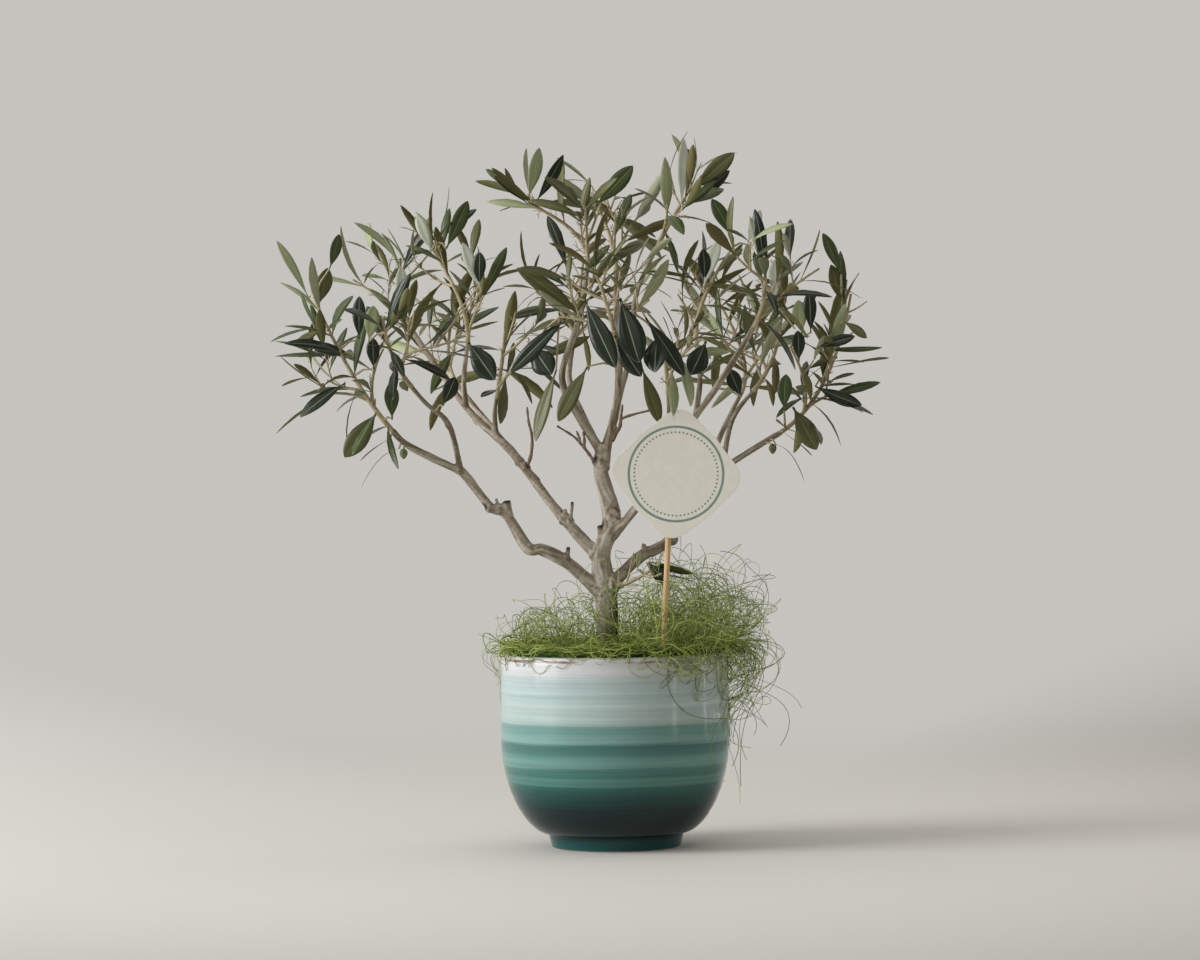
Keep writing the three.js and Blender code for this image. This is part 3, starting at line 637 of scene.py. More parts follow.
for way in dead_twigs:
    line = smooth_line(way, 4)
    last = len(line) - 1
    add_rod(dry, line, [1.05 - 0.5 * i / last + 0.14 * math.sin(2.3 * i) for i in range(last + 1)])
dry_wood, tree, shader = finish("dry_wood", ink(140, 118, 98), 0.85, 0.25)
grained(tree, shader, 600.0, 0.0001, (0.35, 108, 84, 68), (0.65, 160, 140, 118))
dead = piece("dead_twigs", rods(dry), dry_wood)
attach(dead, "root")


# Foliage: every bough ends in a mass of its own. A main shoot runs from the bough to the tip of the
# mass, side shoots and twigs leave it, and narrow leaves stand on them all in opposite pairs.
# Each mass: its bough, its seed, its tip, and its side shoots, by place on the main shoot and by tip
masses = {
    "left_wing": ("lower_left_bough", 55, (-152, -50, 288), [
        (0.25, (-118, -26, 262)), (0.3, (-152, -36, 238))]),
    "left_front": ("lower_left_riser", 81, (-116, -62, 277), [(0.3, (-90, -50, 262))]),
    "left_shoulder": ("middle_left_bough", 125, (-113, 60, 313), [(0.1, (-138, 44, 302))]),
    "left_crown": ("left_crown_riser", 47, (-93, 8, 315), [(0.1, (-66, -8, 290))]),
    "left_inner": ("middle_left_spur", 64, (-56, 22, 272), [(0.2, (-34, -2, 258))]),
    "left_back": ("back_left_bough", 102, (-84, 92, 292), [(0.2, (-112, 88, 268))]),
    "right_wing": ("lower_right_bough", 49, (130, 45, 291), [(0.25, (96, 26, 262)), (0.3, (122, 32, 238))]),
    "right_back_wing": ("lower_right_riser", 131, (93, 60, 281), [(0.3, (70, 50, 262))]),
    "right_shoulder": ("middle_right_bough", 43, (79, -56, 306), [(0.1, (108, -42, 300))]),
    "right_crown": ("right_crown_riser", 33, (65, -6, 314), [(0.1, (36, 8, 290))]),
    "right_inner": ("middle_right_spur", 127, (26, -28, 268), [(0.2, (44, -46, 262))]),
    "right_back": ("back_right_bough", 21, (60, 92, 290), [(0.2, (92, 84, 268))]),
    "top_left": ("top_left_bough", 8, (-41, -14, 337), [(0.1, (-12, -34, 334))]),
    "top_centre": ("top_centre_bough", 93, (-9, 34, 345), [(0.1, (18, 44, 336))]),
    "top_right": ("top_right_bough", 66, (42, -14, 343), [(0.05, (30, -34, 334))]),
    "front": ("front_bough", 122, (-8, -62, 300), [(0.1, (20, -66, 284)), (0.15, (-26, -60, 276))]),
    "trunk_shoot": ("trunk", 45, (25, -12, 149), []),
    "back": ("back_bough", 80, (-14, 78, 312), [(0.15, (14, 84, 290)), (0.2, (-40, 84, 296))]),
}
# The low shoot starts on the trunk's bark. How much of each kind of shoot is bare before its leaves
low_shoot_start, low_shoot_bare = (-2, -1.5, 136), 12
stem_bare, shoot_bare, fine_bare = 6, 9, 4
leaf_length, leaf_width, leaf_spacing = 31.0, 8.0, 11.4
leaf_apart, small_leaf_apart, leaf_margin = 5.5, 3.4, 0.6
twig_spacing, fine_twig_spacing, twig_turn = 22, 46, 2.4
twig_room, fine_twig_room = 4, 2.5
card_centre, card_waist, card_lobe, card_thickness = (32.7, -52.0, 195.1), 27.4, 33.0, 1.2


def bend(start, heading, tip, share):
    """A bent shoot: it leaves its start along a heading and swings round to reach its tip."""
    reach = math.sqrt((tip - start) @ (tip - start))
    return dict(start=start, middle=start + heading * share * reach, tip=tip, reach=reach)


def along(shoot, t):
    return shoot["start"] * (1 - t) ** 2 + shoot["middle"] * 2 * t * (1 - t) + shoot["tip"] * t * t


def heading_at(shoot, t):
    return unit((shoot["middle"] - shoot["start"]) * (1 - t) + (shoot["tip"] - shoot["middle"]) * t)


def across_from(heading):
    """Two directions square to a heading."""
    side = np.array([-heading[1], heading[0], 0.0])
    if math.sqrt(side @ side) < 0.05:
        side = np.array([1.0, 0, 0])
    side = unit(side)
    return side, unit(np.cross(heading, side))


def away_from(heading, turn):
    side, up = across_from(heading)
    return side * math.cos(turn) + up * math.sin(turn)


stems, mass_hearts = {}, {}
for name, (bough, _, tip, sides) in masses.items():
    base, heading = limb_lines[bough][-1], unit(limb_lines[bough][-1] - limb_lines[bough][-3])
    tip = np.array(tip, float)
    if name == "trunk_shoot":
        base = np.array(low_shoot_start, float)
        heading = unit(np.array([tip[0] - base[0], tip[1] - base[1], 0.0]))
    stems[name] = bend(base - 1.5 * heading, heading, tip, 0.4)
    middle = along(stems[name], 0.55)
    for _, side_tip in sides:
        middle = middle + (np.array(side_tip, float) - middle) * 0.2
    mass_hearts[name] = middle

segments = [(a, b - a, limbs[name][0]) for name, line in limb_lines.items() for a, b in zip(line, line[1:])]
segment_start, segment_run, segment_radius = [np.array(column) for column in zip(*segments)]
segment_square = (segment_run ** 2).sum(1)


def room_left(name, p):
    """How far a point is inside the space that is nearer to its own mass's heart than to any other."""
    own = mass_hearts[name]
    others = np.array([heart for other, heart in mass_hearts.items() if other != name])
    apart = np.sqrt(((others - own) ** 2).sum(1))
    return ((((p - others) ** 2).sum(1) - ((p - own) ** 2).sum()) / (2 * apart)).min()


def gap_to_limbs(p):
    t = np.clip(((p - segment_start) * segment_run).sum(1) / segment_square, 0, 1)
    near = segment_start + segment_run * t[:, None]
    return (np.sqrt(((near - p) ** 2).sum(1)) - segment_radius).min()


def gap_to_card(p):
    from_middle = math.hypot(p[0] - card_centre[0], p[2] - card_centre[2])
    return max(abs(p[1] - card_centre[1]) - 3, from_middle - card_lobe - 1)


def leaf_point(leaf, t, sideways):
    arched = leaf["face"] * (leaf["arch"] * leaf["length"] * t * t)
    return leaf["root"] + leaf["out"] * (leaf["length"] * t) - arched + leaf["across"] * sideways


def leaf_of(root, out, face, length, width, arch):
    sizes = dict(length=length, width=width, half=width / 2, arch=arch)
    return dict(root=root, out=out, face=face, across=np.cross(out, face), **sizes)


def make_leaf(root, heading, turn, lean, length, arch):
    out = heading * math.cos(lean) + away_from(heading, turn) * math.sin(lean)
    face = unit(heading - out * (heading @ out))
    return leaf_of(root, out, face, length, leaf_width * length / leaf_length, arch)


def leaf_fits(name, leaf, leaves, apart):
    """Whether a leaf keeps to its mass's space, and clear of the other leaves, the limbs and the card."""
    checks = [leaf_point(leaf, *place) for place in ((0.45, leaf["half"]), (0.45, -leaf["half"]), (1, 0))]
    if any(room_left(name, p) < leaf_margin for p in checks):
        return False
    leaf["rib"] = np.array([leaf_point(leaf, t, 0) for t in (0.35, 0.55, 0.78, 1)])
    if leaves:
        ribs = np.concatenate([other["rib"] for other in leaves])
        if any(((ribs - p) ** 2).sum(1).min() < apart * apart for p in leaf["rib"]):
            return False
    return all(gap_to_limbs(p) > 1 and gap_to_card(p) > 0 for p in checks + list(leaf["rib"]))


def set_leaf(name, shoot, t, turn, lean, length, arch, leaves, apart, **marks):
    """One leaf on a shoot. Where it would meet its neighbours or a limb, it tries other angles."""
    for shift in (0, 0.6, -0.6, 1.2, -1.2):
        leaf = make_leaf(along(shoot, t), heading_at(shoot, t), turn + shift, lean, length, arch)
        if leaf_fits(name, leaf, leaves, apart):
            leaf.update(marks)
            leaves.append(leaf)
            return


def pair_places(shoot, first, shift=0):
    """Places of the leaf pairs on a shoot, or those half way between them."""
    count = max(1, math.floor((shoot["reach"] - first) / leaf_spacing) + 1)
    steps = [i + shift for i in range(count - (shift > 0))]
    return [min(0.985, (first + step * leaf_spacing) / shoot["reach"]) for step in steps]


def main_leaf(t, ending, draw):
    """Lean, length, arch and wobble of a leaf of the main pairs, and whether it grows."""
    lean = 0.2 + 0.35 * draw() if ending else 0.4 + 1.1 * (1 - t) + 0.45 * draw()
    length = leaf_length * (0.9 + 0.3 * draw() if ending else 0.78 + 0.4 * draw())
    return lean, length, 0.02 + 0.26 * draw(), 0.5 * (draw() - 0.5), True


def leaf_between(t, ending, draw):
    lean, length = 0.45 + 0.9 * (1 - t) + 0.5 * draw(), leaf_length * (0.62 + 0.5 * draw())
    return lean, length, 0.04 + 0.3 * draw(), 0.7 * (draw() - 0.5), draw() < 0.1 and t < 0.97


def small_leaf(t, ending, draw):
    lean = 0.25 + 0.4 * draw() if ending else 0.6 + 0.6 * draw()
    length, wobble = leaf_length * (0.5 + 0.36 * draw()), 0.5 * draw()
    return lean, length, 0.02 + 0.25 * draw(), wobble, True


def set_pairs(name, shoot, places, form, draw, leaves, apart, spray, with_end=True):
    """Opposite leaves at each place on a shoot, each pair at right angles to the last."""
    turn = draw() * math.pi
    for i, t in enumerate(places):
        ending = with_end and i == len(places) - 1
        for half in (0, math.pi):
            lean, length, arch, wobble, grows = form(t, ending, draw)
            way, marks = turn + half + wobble, dict(ending=ending, spray=spray)
            if grows:
                set_leaf(name, shoot, t, way, lean, length, arch, leaves, apart, **marks)
        turn += math.pi / 2


def twig_from(shoot, t, turn, keep, spread, length, lift):
    """A twig that leaves a shoot sideways, keeps some of its heading, and turns up a little."""
    heading = unit(heading_at(shoot, t) * keep + away_from(heading_at(shoot, t), turn) * spread)
    start = along(shoot, t)
    tip = start + heading * length
    tip[2] += lift * length
    return bend(start, heading, tip, 0.5)


def clear_point(name, p, gap):
    return room_left(name, p) > gap and gap_to_limbs(p) > gap and gap_to_card(p) > gap


def grow_mass(name):
    """The shoots and leaves of one mass: by the main rule first, then the finer growth between."""
    stem, (_, seed, _, sides) = stems[name], masses[name]
    draw = chance(seed)
    shoots = [(stem, low_shoot_bare if name == "trunk_shoot" else stem_bare, 1.15)]
    for t, tip in sides:
        tip = np.array(tip, float)
        start = along(stem, t)
        heading = unit(heading_at(stem, t) + unit(tip - start))
        shoots.append((bend(start, heading, tip, 0.45), shoot_bare, 0.9))
    twig_count = math.floor(stem["reach"] / twig_spacing + 0.5)
    for i in range(twig_count):
        t = (i + 0.6 + 0.3 * draw()) / (twig_count + 0.4)
        twig = twig_from(stem, t, twig_turn * i + 2 * draw(), 0.55, 0.83, 16 + 12 * draw(), 0.25)
        if clear_point(name, twig["tip"], twig_room):
            shoots.append((twig, shoot_bare, 0.75))
    leaves = []
    for order, (shoot, first, _) in enumerate(shoots):
        set_pairs(name, shoot, pair_places(shoot, first), main_leaf, draw, leaves, leaf_apart, order)
    grow_between(name, shoots, leaves, chance(seed + 1000))
    return shoots, leaves


def grow_between(name, shoots, leaves, draw):
    """Leaves between the pairs of the main rule, and fine twigs with small leaves of their own."""
    main_shoots, apart = list(shoots), small_leaf_apart
    for order, (shoot, first, _) in enumerate(main_shoots):
        places = pair_places(shoot, first, 0.5)
        set_pairs(name, shoot, places, leaf_between, draw, leaves, apart, order, with_end=False)
    for shoot, _, _ in main_shoots:
        twigs = max(1, round(shoot["reach"] / fine_twig_spacing))
        for i in range(twigs):
            t = (i + 0.35 + 0.5 * draw()) / twigs
            turn, spread, length = twig_turn * i + 3 * draw(), 0.7 + 0.25 * draw(), 9 + 11 * draw()
            fine = twig_from(shoot, t, turn, 1 - spread * 0.54, spread, length, 0.2)
            if clear_point(name, fine["tip"], fine_twig_room):
                shoots.append((fine, fine_bare, 0.5))
                pairs = 2 + (fine["reach"] > 13)
                places = [0.35 + 0.63 * k / (pairs - 1) for k in range(pairs)]
                set_pairs(name, fine, places, small_leaf, draw, leaves, apart, len(shoots) - 1)


# Leaf: long and narrow with a short stalk, pointed, a little folded along a pale midrib, its
# margins turned down. Glossy above and felted grey below. One form is made once and set many times.
stalk_share, blade_lean, blade_fullness, blade_fold, blade_thickness = 0.085, 1.3, 0.68, 0.16, 0.085
upper_face, midrib_face, lower_face = 0, 1, 2


def leaf_shape(name, rows, strips):
    """Leaf of length 1 along X and half width 1, with a point for each row and strip on each side."""
    form = bmesh.new()
    bmesh.ops.create_grid(form, x_segments=len(rows) - 1, y_segments=len(strips) - 1, size=1)
    for vert in form.verts:
        t = rows[round((vert.co.x + 1) / 2 * (len(rows) - 1))]
        s = strips[round((vert.co.y + 1) / 2 * (len(strips) - 1))]
        swell = min(1.0, max(0.0, (t - stalk_share) / (1 - stalk_share)))
        narrowest = 0.11 if t < 0.5 else 0.07
        width = max(narrowest, math.sin(math.pi * swell ** blade_lean) ** blade_fullness)
        vert.co = (t, s * width, blade_fold * abs(s) * width)
    bmesh.ops.solidify(form, geom=form.faces[:], thickness=blade_thickness)
    form.normal_update()
    for face in form.faces:
        middle = face.calc_center_median()
        face.material_index = lower_face
        if face.normal.z > 0.2:
            face.material_index = midrib_face if abs(middle.y) < 0.04 and middle.x > 0.04 else upper_face
    mesh = from_bmesh(name, form)
    points = np.zeros(len(mesh.vertices) * 3)
    mesh.vertices.foreach_get("co", points)
    return mesh, points.reshape(-1, 3)


plain_leaf = leaf_shape("plain_leaf", [0, 0.09, 0.22, 0.42, 0.64, 0.82, 0.94, 1.0], [-1, -0.055, 0.055, 1])
fine_rows = [0, 0.06, 0.1, 0.15, 0.22, 0.31, 0.42, 0.53, 0.64, 0.74, 0.83, 0.9, 0.95, 0.985, 1.0]
fine_leaf = leaf_shape("fine_leaf", fine_rows, [-1, -0.45, -0.05, 0.05, 0.45, 1])


def placed(leaf, shape, draw):
    """A leaf shape, and its points carried to the leaf's own place with a slight sweep and twist."""
    mesh, points = shape
    t, s, h = points.T
    sweep, twist = 0.09 * (draw() - 0.5), 0.9 * (draw() - 0.5)
    half = leaf["half"]
    turn = twist * t * t
    aside = half * (s * np.cos(turn) - h * np.sin(turn)) - sweep * leaf["length"] * t * t
    lift = half * (s * np.sin(turn) + h * np.cos(turn))
    points = leaf["root"] + np.outer(t * leaf["length"], leaf["out"])
    points += np.outer(lift - leaf["arch"] * leaf["length"] * t * t, leaf["face"])
    return mesh, points - np.outer(aside, leaf["across"])


# Colours above, on the midrib and below, and the roughness above
tints = {
    "deep": (ink(35, 45, 31), ink(132, 140, 112), ink(114, 120, 88), 0.28),
    "green": (ink(68, 81, 44), ink(124, 132, 88), ink(112, 110, 70), 0.34),
    "olive": (ink(92, 94, 54), ink(130, 129, 84), ink(103, 97, 60), 0.38),
    "young": (ink(158, 166, 124), ink(184, 188, 148), ink(168, 172, 142), 0.40),
    "silver": (ink(206, 211, 192), ink(216, 219, 202), ink(160, 162, 138), 0.5),
}
spray_tints = (("deep", 0.3), ("green", 0.66), ("olive", 0.95), ("young", 1.0))
# Spaces without leaves, from the lowest to the highest corner: open sky over the middle of the crown
# and beyond its right end, and the place of the broad leaves that hang in front
beyond = 999
sky = [((-21, -beyond, 352), (28, beyond, 380)), ((131, -beyond, 264), (165, beyond, 318))]
broad_leaves_place = ((-18, -beyond, 240), (30, -56, 290))
# The low shoot on the trunk has only the leaves that end here. Some old leaves have fallen, more of
# them high in the crown, and some of the flower stalks in their corners are left
low_shoot_leaves = ((16, -beyond, 140), (beyond, beyond, 151))
old_leaves_fallen, top_leaves_fallen, top_height = 0.3, 0.42, 295
young_ends, stalks_left, droop = 0.2, 0.2, 1.6


def inside(p, low, high):
    return all(a < value < b for a, value, b in zip(low, p, high))


leaf_groups = {tint: [] for tint in tints}
twigs = rod_curve("twigs", 1)
leaf_draw = chance(2026)
growth, stalk_places = [], []
for name in masses:
    shoots, leaves = grow_mass(name)
    spray_tint = {}
    for leaf in leaves:
        end = leaf["root"] + leaf["out"] * leaf["length"]
        corner = (leaf["root"], unit(leaf["out"] + leaf["face"]))
        if name == "trunk_shoot" and not inside(end, *low_shoot_leaves):
            continue
        if any(inside(end, *space) for space in sky):
            continue
        if leaf["spray"] not in spray_tint:
            pick = leaf_draw()
            spray_tint[leaf["spray"]] = next(tint for tint, share in spray_tints if pick < share)
        tint = spray_tint[leaf["spray"]]
        if leaf["ending"] and leaf_draw() < young_ends:
            tint = "young"
        fallen = top_leaves_fallen if end[2] > top_height else old_leaves_fallen
        if not leaf["ending"] and leaf_draw() < fallen:
            stalk_places.append(corner)
            continue
        leaf["arch"] *= droop
        leaf["half"] = leaf["width"] * (0.28 + 0.15 * leaf_draw())
        grown = placed(leaf, plain_leaf, leaf_draw)
        if not inside((leaf["root"] + end) / 2, *broad_leaves_place):
            leaf_groups[tint].append(grown)
        if not leaf["ending"] and leaf_draw() < stalks_left:
            stalk_places.append(corner)
    for shoot, _, thick in shoots:
        steps = max(3, round(shoot["reach"] / 5))
        line = [along(shoot, i / steps) for i in range(steps + 1)]
        growth.extend(line)
        add_rod(twigs, line, [thick * (1.2 - 0.6 * i / steps) for i in range(steps + 1)])
growth = np.array(growth + [at for at, _, _, _ in heart_points])


def nearest_growth(p):
    return growth[((growth - p) ** 2).sum(1).argmin()]


# Leaves that stand out: old broad ones that hang in front, long drooping ones below, and those that
# end the shoots against the sky. Place of root and of tip, width, turn from the front, and tint
outstanding = [
    ((-13, -66, 284), (1, -76, 250), 11.5, 0.1, "deep"),
    ((5, -66, 285), (14, -76, 253), 14, -0.1, "deep"),
    ((2, -68, 266), (14.5, -72, 245), 10, 0.1, "deep"),
    ((24, -58, 266), (21, -66, 248), 12.5, 0.3, "deep"),
    ((49, -56, 263), (42, -62, 246), 11.5, -0.3, "deep"),
    ((-40, -58, 261), (-31, -64, 247), 13, 0.2, "deep"),
    ((-73, -50, 264), (-60, -56, 245), 12, 0, "deep"),
    ((-22, -60, 276), (-52, -62, 249), 8, 0.3, "deep"),
    ((18, -60, 275), (38, -64, 246), 9, -0.3, "deep"),
    ((-14, -50, 276), (-45, -58, 303), 9, 0.4, "olive"),
    ((-28, -52, 249), (-41, -56, 214), 8, 0.5, "olive"),
    ((-12, -44, 251), (-28, -50, 224), 9, 0.4, "olive"),
    ((16, -50, 250), (25, -54, 222), 8, -0.4, "olive"),
    ((97, 12, 230), (109, 6, 208), 11, 0, "olive"),
    ((-121, -34, 229), (-137, -40, 206), 11, 0, "olive"),
    ((-137, -44, 244), (-161, -50, 229), 7.5, 0.4, "deep"),
    ((109, 20, 241), (132, 14, 229), 7.5, 0.4, "deep"),
    ((-137, -46, 258), (-172, -50, 260), 4.5, 0.9, "green"),
    ((110, 24, 261), (144, 18, 259), 4.5, 0.9, "green"),
    ((-42, -16, 340), (-35, -18, 366), 7.5, 0.3, "young"),
    ((-38, -18, 338), (-22, -22, 361), 6.5, 0.4, "deep"),
    ((-42, -16, 337), (-58, -20, 353), 5.5, 0.6, "deep"),
    ((-7, -20, 335), (13, -24, 355), 9, 0.1, "green"),
    ((38, -18, 335), (39, -20, 370), 6, 0.2, "silver"),
    ((41, -10, 343), (43, -12, 365), 7, 0.3, "green"),
    ((44, -12, 343), (65, -16, 363), 9, 0.1, "olive"),
    ((41, -12, 336), (64, -16, 352), 6.5, 0.4, "deep"),
    ((65, -20, 318), (55, -22, 339), 7.5, 0.2, "green"),
    ((124, 30, 301), (115, 28, 323), 7, 0.3, "green"),
    ((124, 30, 286), (119, 28, 306), 8.5, 0.3, "olive"),
    ((-144, -40, 303), (-138, -42, 320), 6, 0.4, "green"),
    ((-150, -40, 284), (-145, -42, 303), 8.5, 0.3, "olive"),
    ((-155, -40, 288), (-169, -44, 318), 5, 0.5, "young"),
    ((-85, -30, 314), (-73, -34, 338), 8, 0.2, "green"),
    ((-91, -30, 312), (-100, -34, 331), 6.5, 0.4, "young"),
    ((18, -12, 149), (29, -14, 138), 7.5, 0.1, "deep"),
    ((19, -11, 149.5), (41, -12, 142), 4.5, 0.6, "green"),
    ((12.5, -11, 145), (14.5, -12.5, 155), 3.4, 0.2, "young"),
]
# Leaves that stand out on both sides of the crown: those of the left side, and how the right side's
# follow from them, a little nearer the trunk, further back and higher
left_ones = [
    ((-107, -50, 281), (-107, -52, 303), 6.6, 0.2, "silver"),
    ((-92, -48, 312), (-99, -50, 330), 6, 0.2, "silver"),
    ((-66, -50, 290), (-75, -52, 315), 6.6, 0.2, "silver"),
    ((-124, -50, 265), (-121, -52, 283), 8, 0.1, "young"),
    ((-67, -50, 293), (-67, -52, 310), 7, 0, "deep"),
    ((-129, -50, 266), (-129, -52, 288), 7, 0.1, "deep"),
    ((-122, -50, 251), (-122, -52, 267), 7, 0.1, "deep"),
    ((-113, -50, 225), (-113, -52, 244), 8, 0.2, "green"),
    ((-118, -50, 267), (-105, -52, 285), 5.5, 0.2, "green"),
    ((-87, -50, 232), (-80, -52, 246), 8, 0.1, "deep"),
    ((-132, -50, 258), (-154, -54, 264), 6, 0.3, "deep"),
    ((-148, -48, 272), (-162, -52, 264), 5, 0.4, "olive"),
]


def on_the_right(p):
    return (-10.7 - 0.905 * p[0], p[1] + 40, p[2] + 3)


outstanding += left_ones
outstanding += [(on_the_right(root), on_the_right(tip), width, -turn, tint)
                for root, tip, width, turn, tint in left_ones]
# Thin leaves seen from their edge, which leave the lowest boughs level and bend down:
# place of root and of the end before the bend, and how far it bends
bent_down = [
    ((-110, -36, 210), (-132, -40, 207), 0.77),
    ((-114.5, -38, 215.5), (-131, -42, 206), 0.12),
    ((87.7, 14, 210), (104.7, 12, 208), 1.05),
    ((91.5, 14, 216.7), (108, 12, 206), 0.12),
]
thin_leaf, flat_arch = 3.4, 0.1
single_leaves = [(*leaf, flat_arch) for leaf in outstanding]
for root, tip, arch in bent_down:
    single_leaves.append((root, tip, thin_leaf, math.copysign(math.pi / 2, -tip[0]), "green", arch))
front = np.array([0.0, -1.0, 0.0])
# How much of the way back to the growth behind it a leaf is moved, so that its stalk is short
nearer = 0.55
for root, tip, width, turn, tint, arch in single_leaves:
    root, tip = np.array(root, float), np.array(tip, float)
    back = np.array([0, nearer * (nearest_growth(root)[1] - root[1]), 0])
    root, tip = root + back, tip + back
    start = nearest_growth(root)
    add_rod(twigs, [start, (start + root) / 2 + (0, 0, 1.5), root], [0.7, 0.55, 0.45])
    length = math.dist(root, tip)
    out = (tip - root) / length
    face = unit(front - out * (front @ out))
    face = face * math.cos(turn) + np.cross(out, face) * math.sin(turn)
    leaf = leaf_of(root, out, face, length, width, arch)
    leaf_groups[tint].append(placed(leaf, fine_leaf, leaf_draw))

# Stalks of the fruits
fruit_radius = 2.1
fruit_places = [(-107.6, -36, 207.6), (85.4, 14, 208.2)]
for place in fruit_places:
    crown = np.array(place) + (0, 0, fruit_radius)
    start = nearest_growth(crown)
    add_rod(twigs, [start, (start + crown) / 2, crown], [0.5, 0.4, 0.5])

# Stalks of last year's flowers, thin and forked, in the corners of leaves
for root, heading in stalk_places:
    side, up = across_from(heading)
    reach = 6 + 6 * leaf_draw()
    top = root + heading * reach + side * (4 * leaf_draw() - 2)
    add_rod(twigs, [root, root + heading * reach * 0.5, top], [0.3, 0.24, 0.17])
    for share in (0.45, 0.7):
        fork = root + (top - root) * share
        aside = side * (leaf_draw() - 0.5) + up * (leaf_draw() - 0.5) + heading * 0.45
        add_rod(twigs, [fork, fork + unit(aside) * reach * 0.4], [0.2, 0.15])

for tint, (above, rib, below, roughness) in tints.items():
    form = bmesh.new()
    for shape, _ in leaf_groups[tint]:
        form.from_mesh(shape)
    mesh = from_bmesh(f"leaves_{tint}", form)
    points = np.concatenate([points for _, points in leaf_groups[tint]]) * mm
    mesh.vertices.foreach_set("co", points.ravel())
    mesh.update()
    blade = finish(f"leaf_{tint}", above, roughness, 0.42)[0]
    midrib = finish(f"midrib_{tint}", rib, 0.5, 0.25)[0]
    felt = finish(f"underside_{tint}", below, 0.8, 0.2)[0]
    leaves = piece(f"leaves_{tint}", mesh, blade, midrib, felt)
    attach(leaves, "root")
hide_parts(*[f"{name}_foliage" for name in masses])

green_wood, tree, shader = finish("green_wood", ink(176, 160, 124), 0.6, 0.4)
grained(tree, shader, 240.0, 0.0001, (0.35, 158, 142, 108), (0.65, 194, 180, 144))
shoots_piece = piece("shoots", smoothed(rods(twigs)), green_wood)
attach(shoots_piece, "root")


# Fruit: two small unripe olives under the lowest boughs, firm and dull green, each with a short
# point, hung on a short stalk in the corner of a leaf.
olives = bmesh.new()
for place in fruit_places:
    made = bmesh.ops.create_uvsphere(olives, u_segments=20, v_segments=14, radius=fruit_radius * mm)
    for vert in made["verts"]:
        down = max(0.0, -vert.co.z / mm / fruit_radius)
        vert.co.z *= 1.12 + 0.35 * down ** 5
    bmesh.ops.translate(olives, verts=made["verts"], vec=[c * mm for c in place])
unripe, tree, shader = finish("unripe_fruit", ink(92, 104, 62), 0.45, 0.4)
grained(tree, shader, 500.0, 0.0001, (0.35, 70, 82, 46), (0.65, 118, 124, 84))
fruit = piece("fruit", from_bmesh("fruit", olives), unripe)
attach(fruit, "root")


# Wood wool: a mat of fine green-dyed wood fibres pressed onto the soil, as high as the rim, with
# hundreds of loose curled threads that stand up, lean over the rim and hang down at the right.
mat_top, thread_radius = 104.5, 0.15
rough_above, roughness_of_mat = 102, 2.2
mat_outline = [(0, 93), (54.6, 92.6), (54.8, 101.6), (56.5, 103.6)]
mat_outline += [(50, 105.4), (38, 106.4), (20, 106.6), (0, 106.2)]
mat_shape = turned(mat_outline, 72)
bmesh.ops.subdivide_edges(mat_shape, edges=mat_shape.edges, cuts=2, use_grid_fill=True)
for vert in mat_shape.verts:
    if vert.co.z > rough_above * mm:
        vert.co.z += roughness_of_mat * mm * noise.fractal(vert.co / mm * 0.13, 0.7, 2.0, 3)

# Mat darker than the loose threads, flecked darker still: green dye, and painted shade between the fibres
wool_mat_with_painted_shade, tree, shader = finish("wool_mat", ink(72, 92, 34), 0.9, 0.2)
grained(tree, shader, 420.0, 0.0016, (0.35, 40, 54, 20), (0.55, 86, 110, 42), (0.75, 128, 148, 66))
mat = piece("wood_wool_mat", from_bmesh("wood_wool_mat", mat_shape), wool_mat_with_painted_shade)
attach(mat, "root")
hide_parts("wood_wool")

# A thread turns this often, in two steps each where it is long, and keeps above the mat and off the pot
thread_turns, long_thread = 15, 45
lowest_on_mat, lip_top, mat_edge, off_pot = 100, 102.6, 54, 0.5


def some_way():
    return Vector((draw() - 0.5, draw() - 0.5, draw() - 0.5))


def strand(start, heading, length, curl, steer):
    """A curled thread: it wanders from its start, always turning, steered by the pull at each point."""
    parts = 2 if length > long_thread else 1
    step = length / thread_turns / parts
    points, heading = [Vector(start)], Vector(heading).normalized()
    axis = some_way().normalized()
    for _ in range(thread_turns):
        axis = (axis + 0.9 * some_way()).normalized()
        for _ in range(parts):
            heading.rotate(Quaternion(axis, curl * step))
            heading = (heading + steer(points[-1]) / parts).normalized()
            at = points[-1] + heading * step
            out = at.to_2d().length
            if at.z < lip_top and out > mat_edge:
                limit = max(bowl_radius(max(at.z, neck_height)) + off_pot, out)
                at = Vector((at.x * limit / out, at.y * limit / out, at.z))
            elif at.z < lowest_on_mat:
                at.z = lowest_on_mat
            points.append(at)
    return points


def lying(p):
    """Steering that keeps a thread on the mat."""
    inward = Vector((-p.x, -p.y, 0)).normalized() * (0.5 if p.to_2d().length > mat_edge else 0)
    return inward + Vector((0, 0, 0.12 * (mat_top + 1.5 - p.z)))


def kept_in(middle, reach, pull):
    """Steering that turns a thread back where it leaves the cloud round a middle point."""
    def steer(p):
        off = Vector([(p[i] - middle[i]) / reach[i] for i in range(3)])
        if off.length < 1:
            return Vector((0, 0, 0))
        return Vector([-off[i] / reach[i] for i in range(3)]).normalized() * pull * min(1.0, off.length - 0.8)
    return steer


def hanging(near, limit):
    """Steering that carries a thread over the lip, then lets it fall between two distances out."""
    def steer(p):
        out = Vector((p.x, p.y, 0)).normalized()
        far = p.to_2d().length
        push = 0.16 if far < near else -min(0.7, 0.06 * (far - limit)) if far > limit else 0
        return out * push + Vector((0, 0, -0.15 if far > pot_radius else 0.02))
    return steer


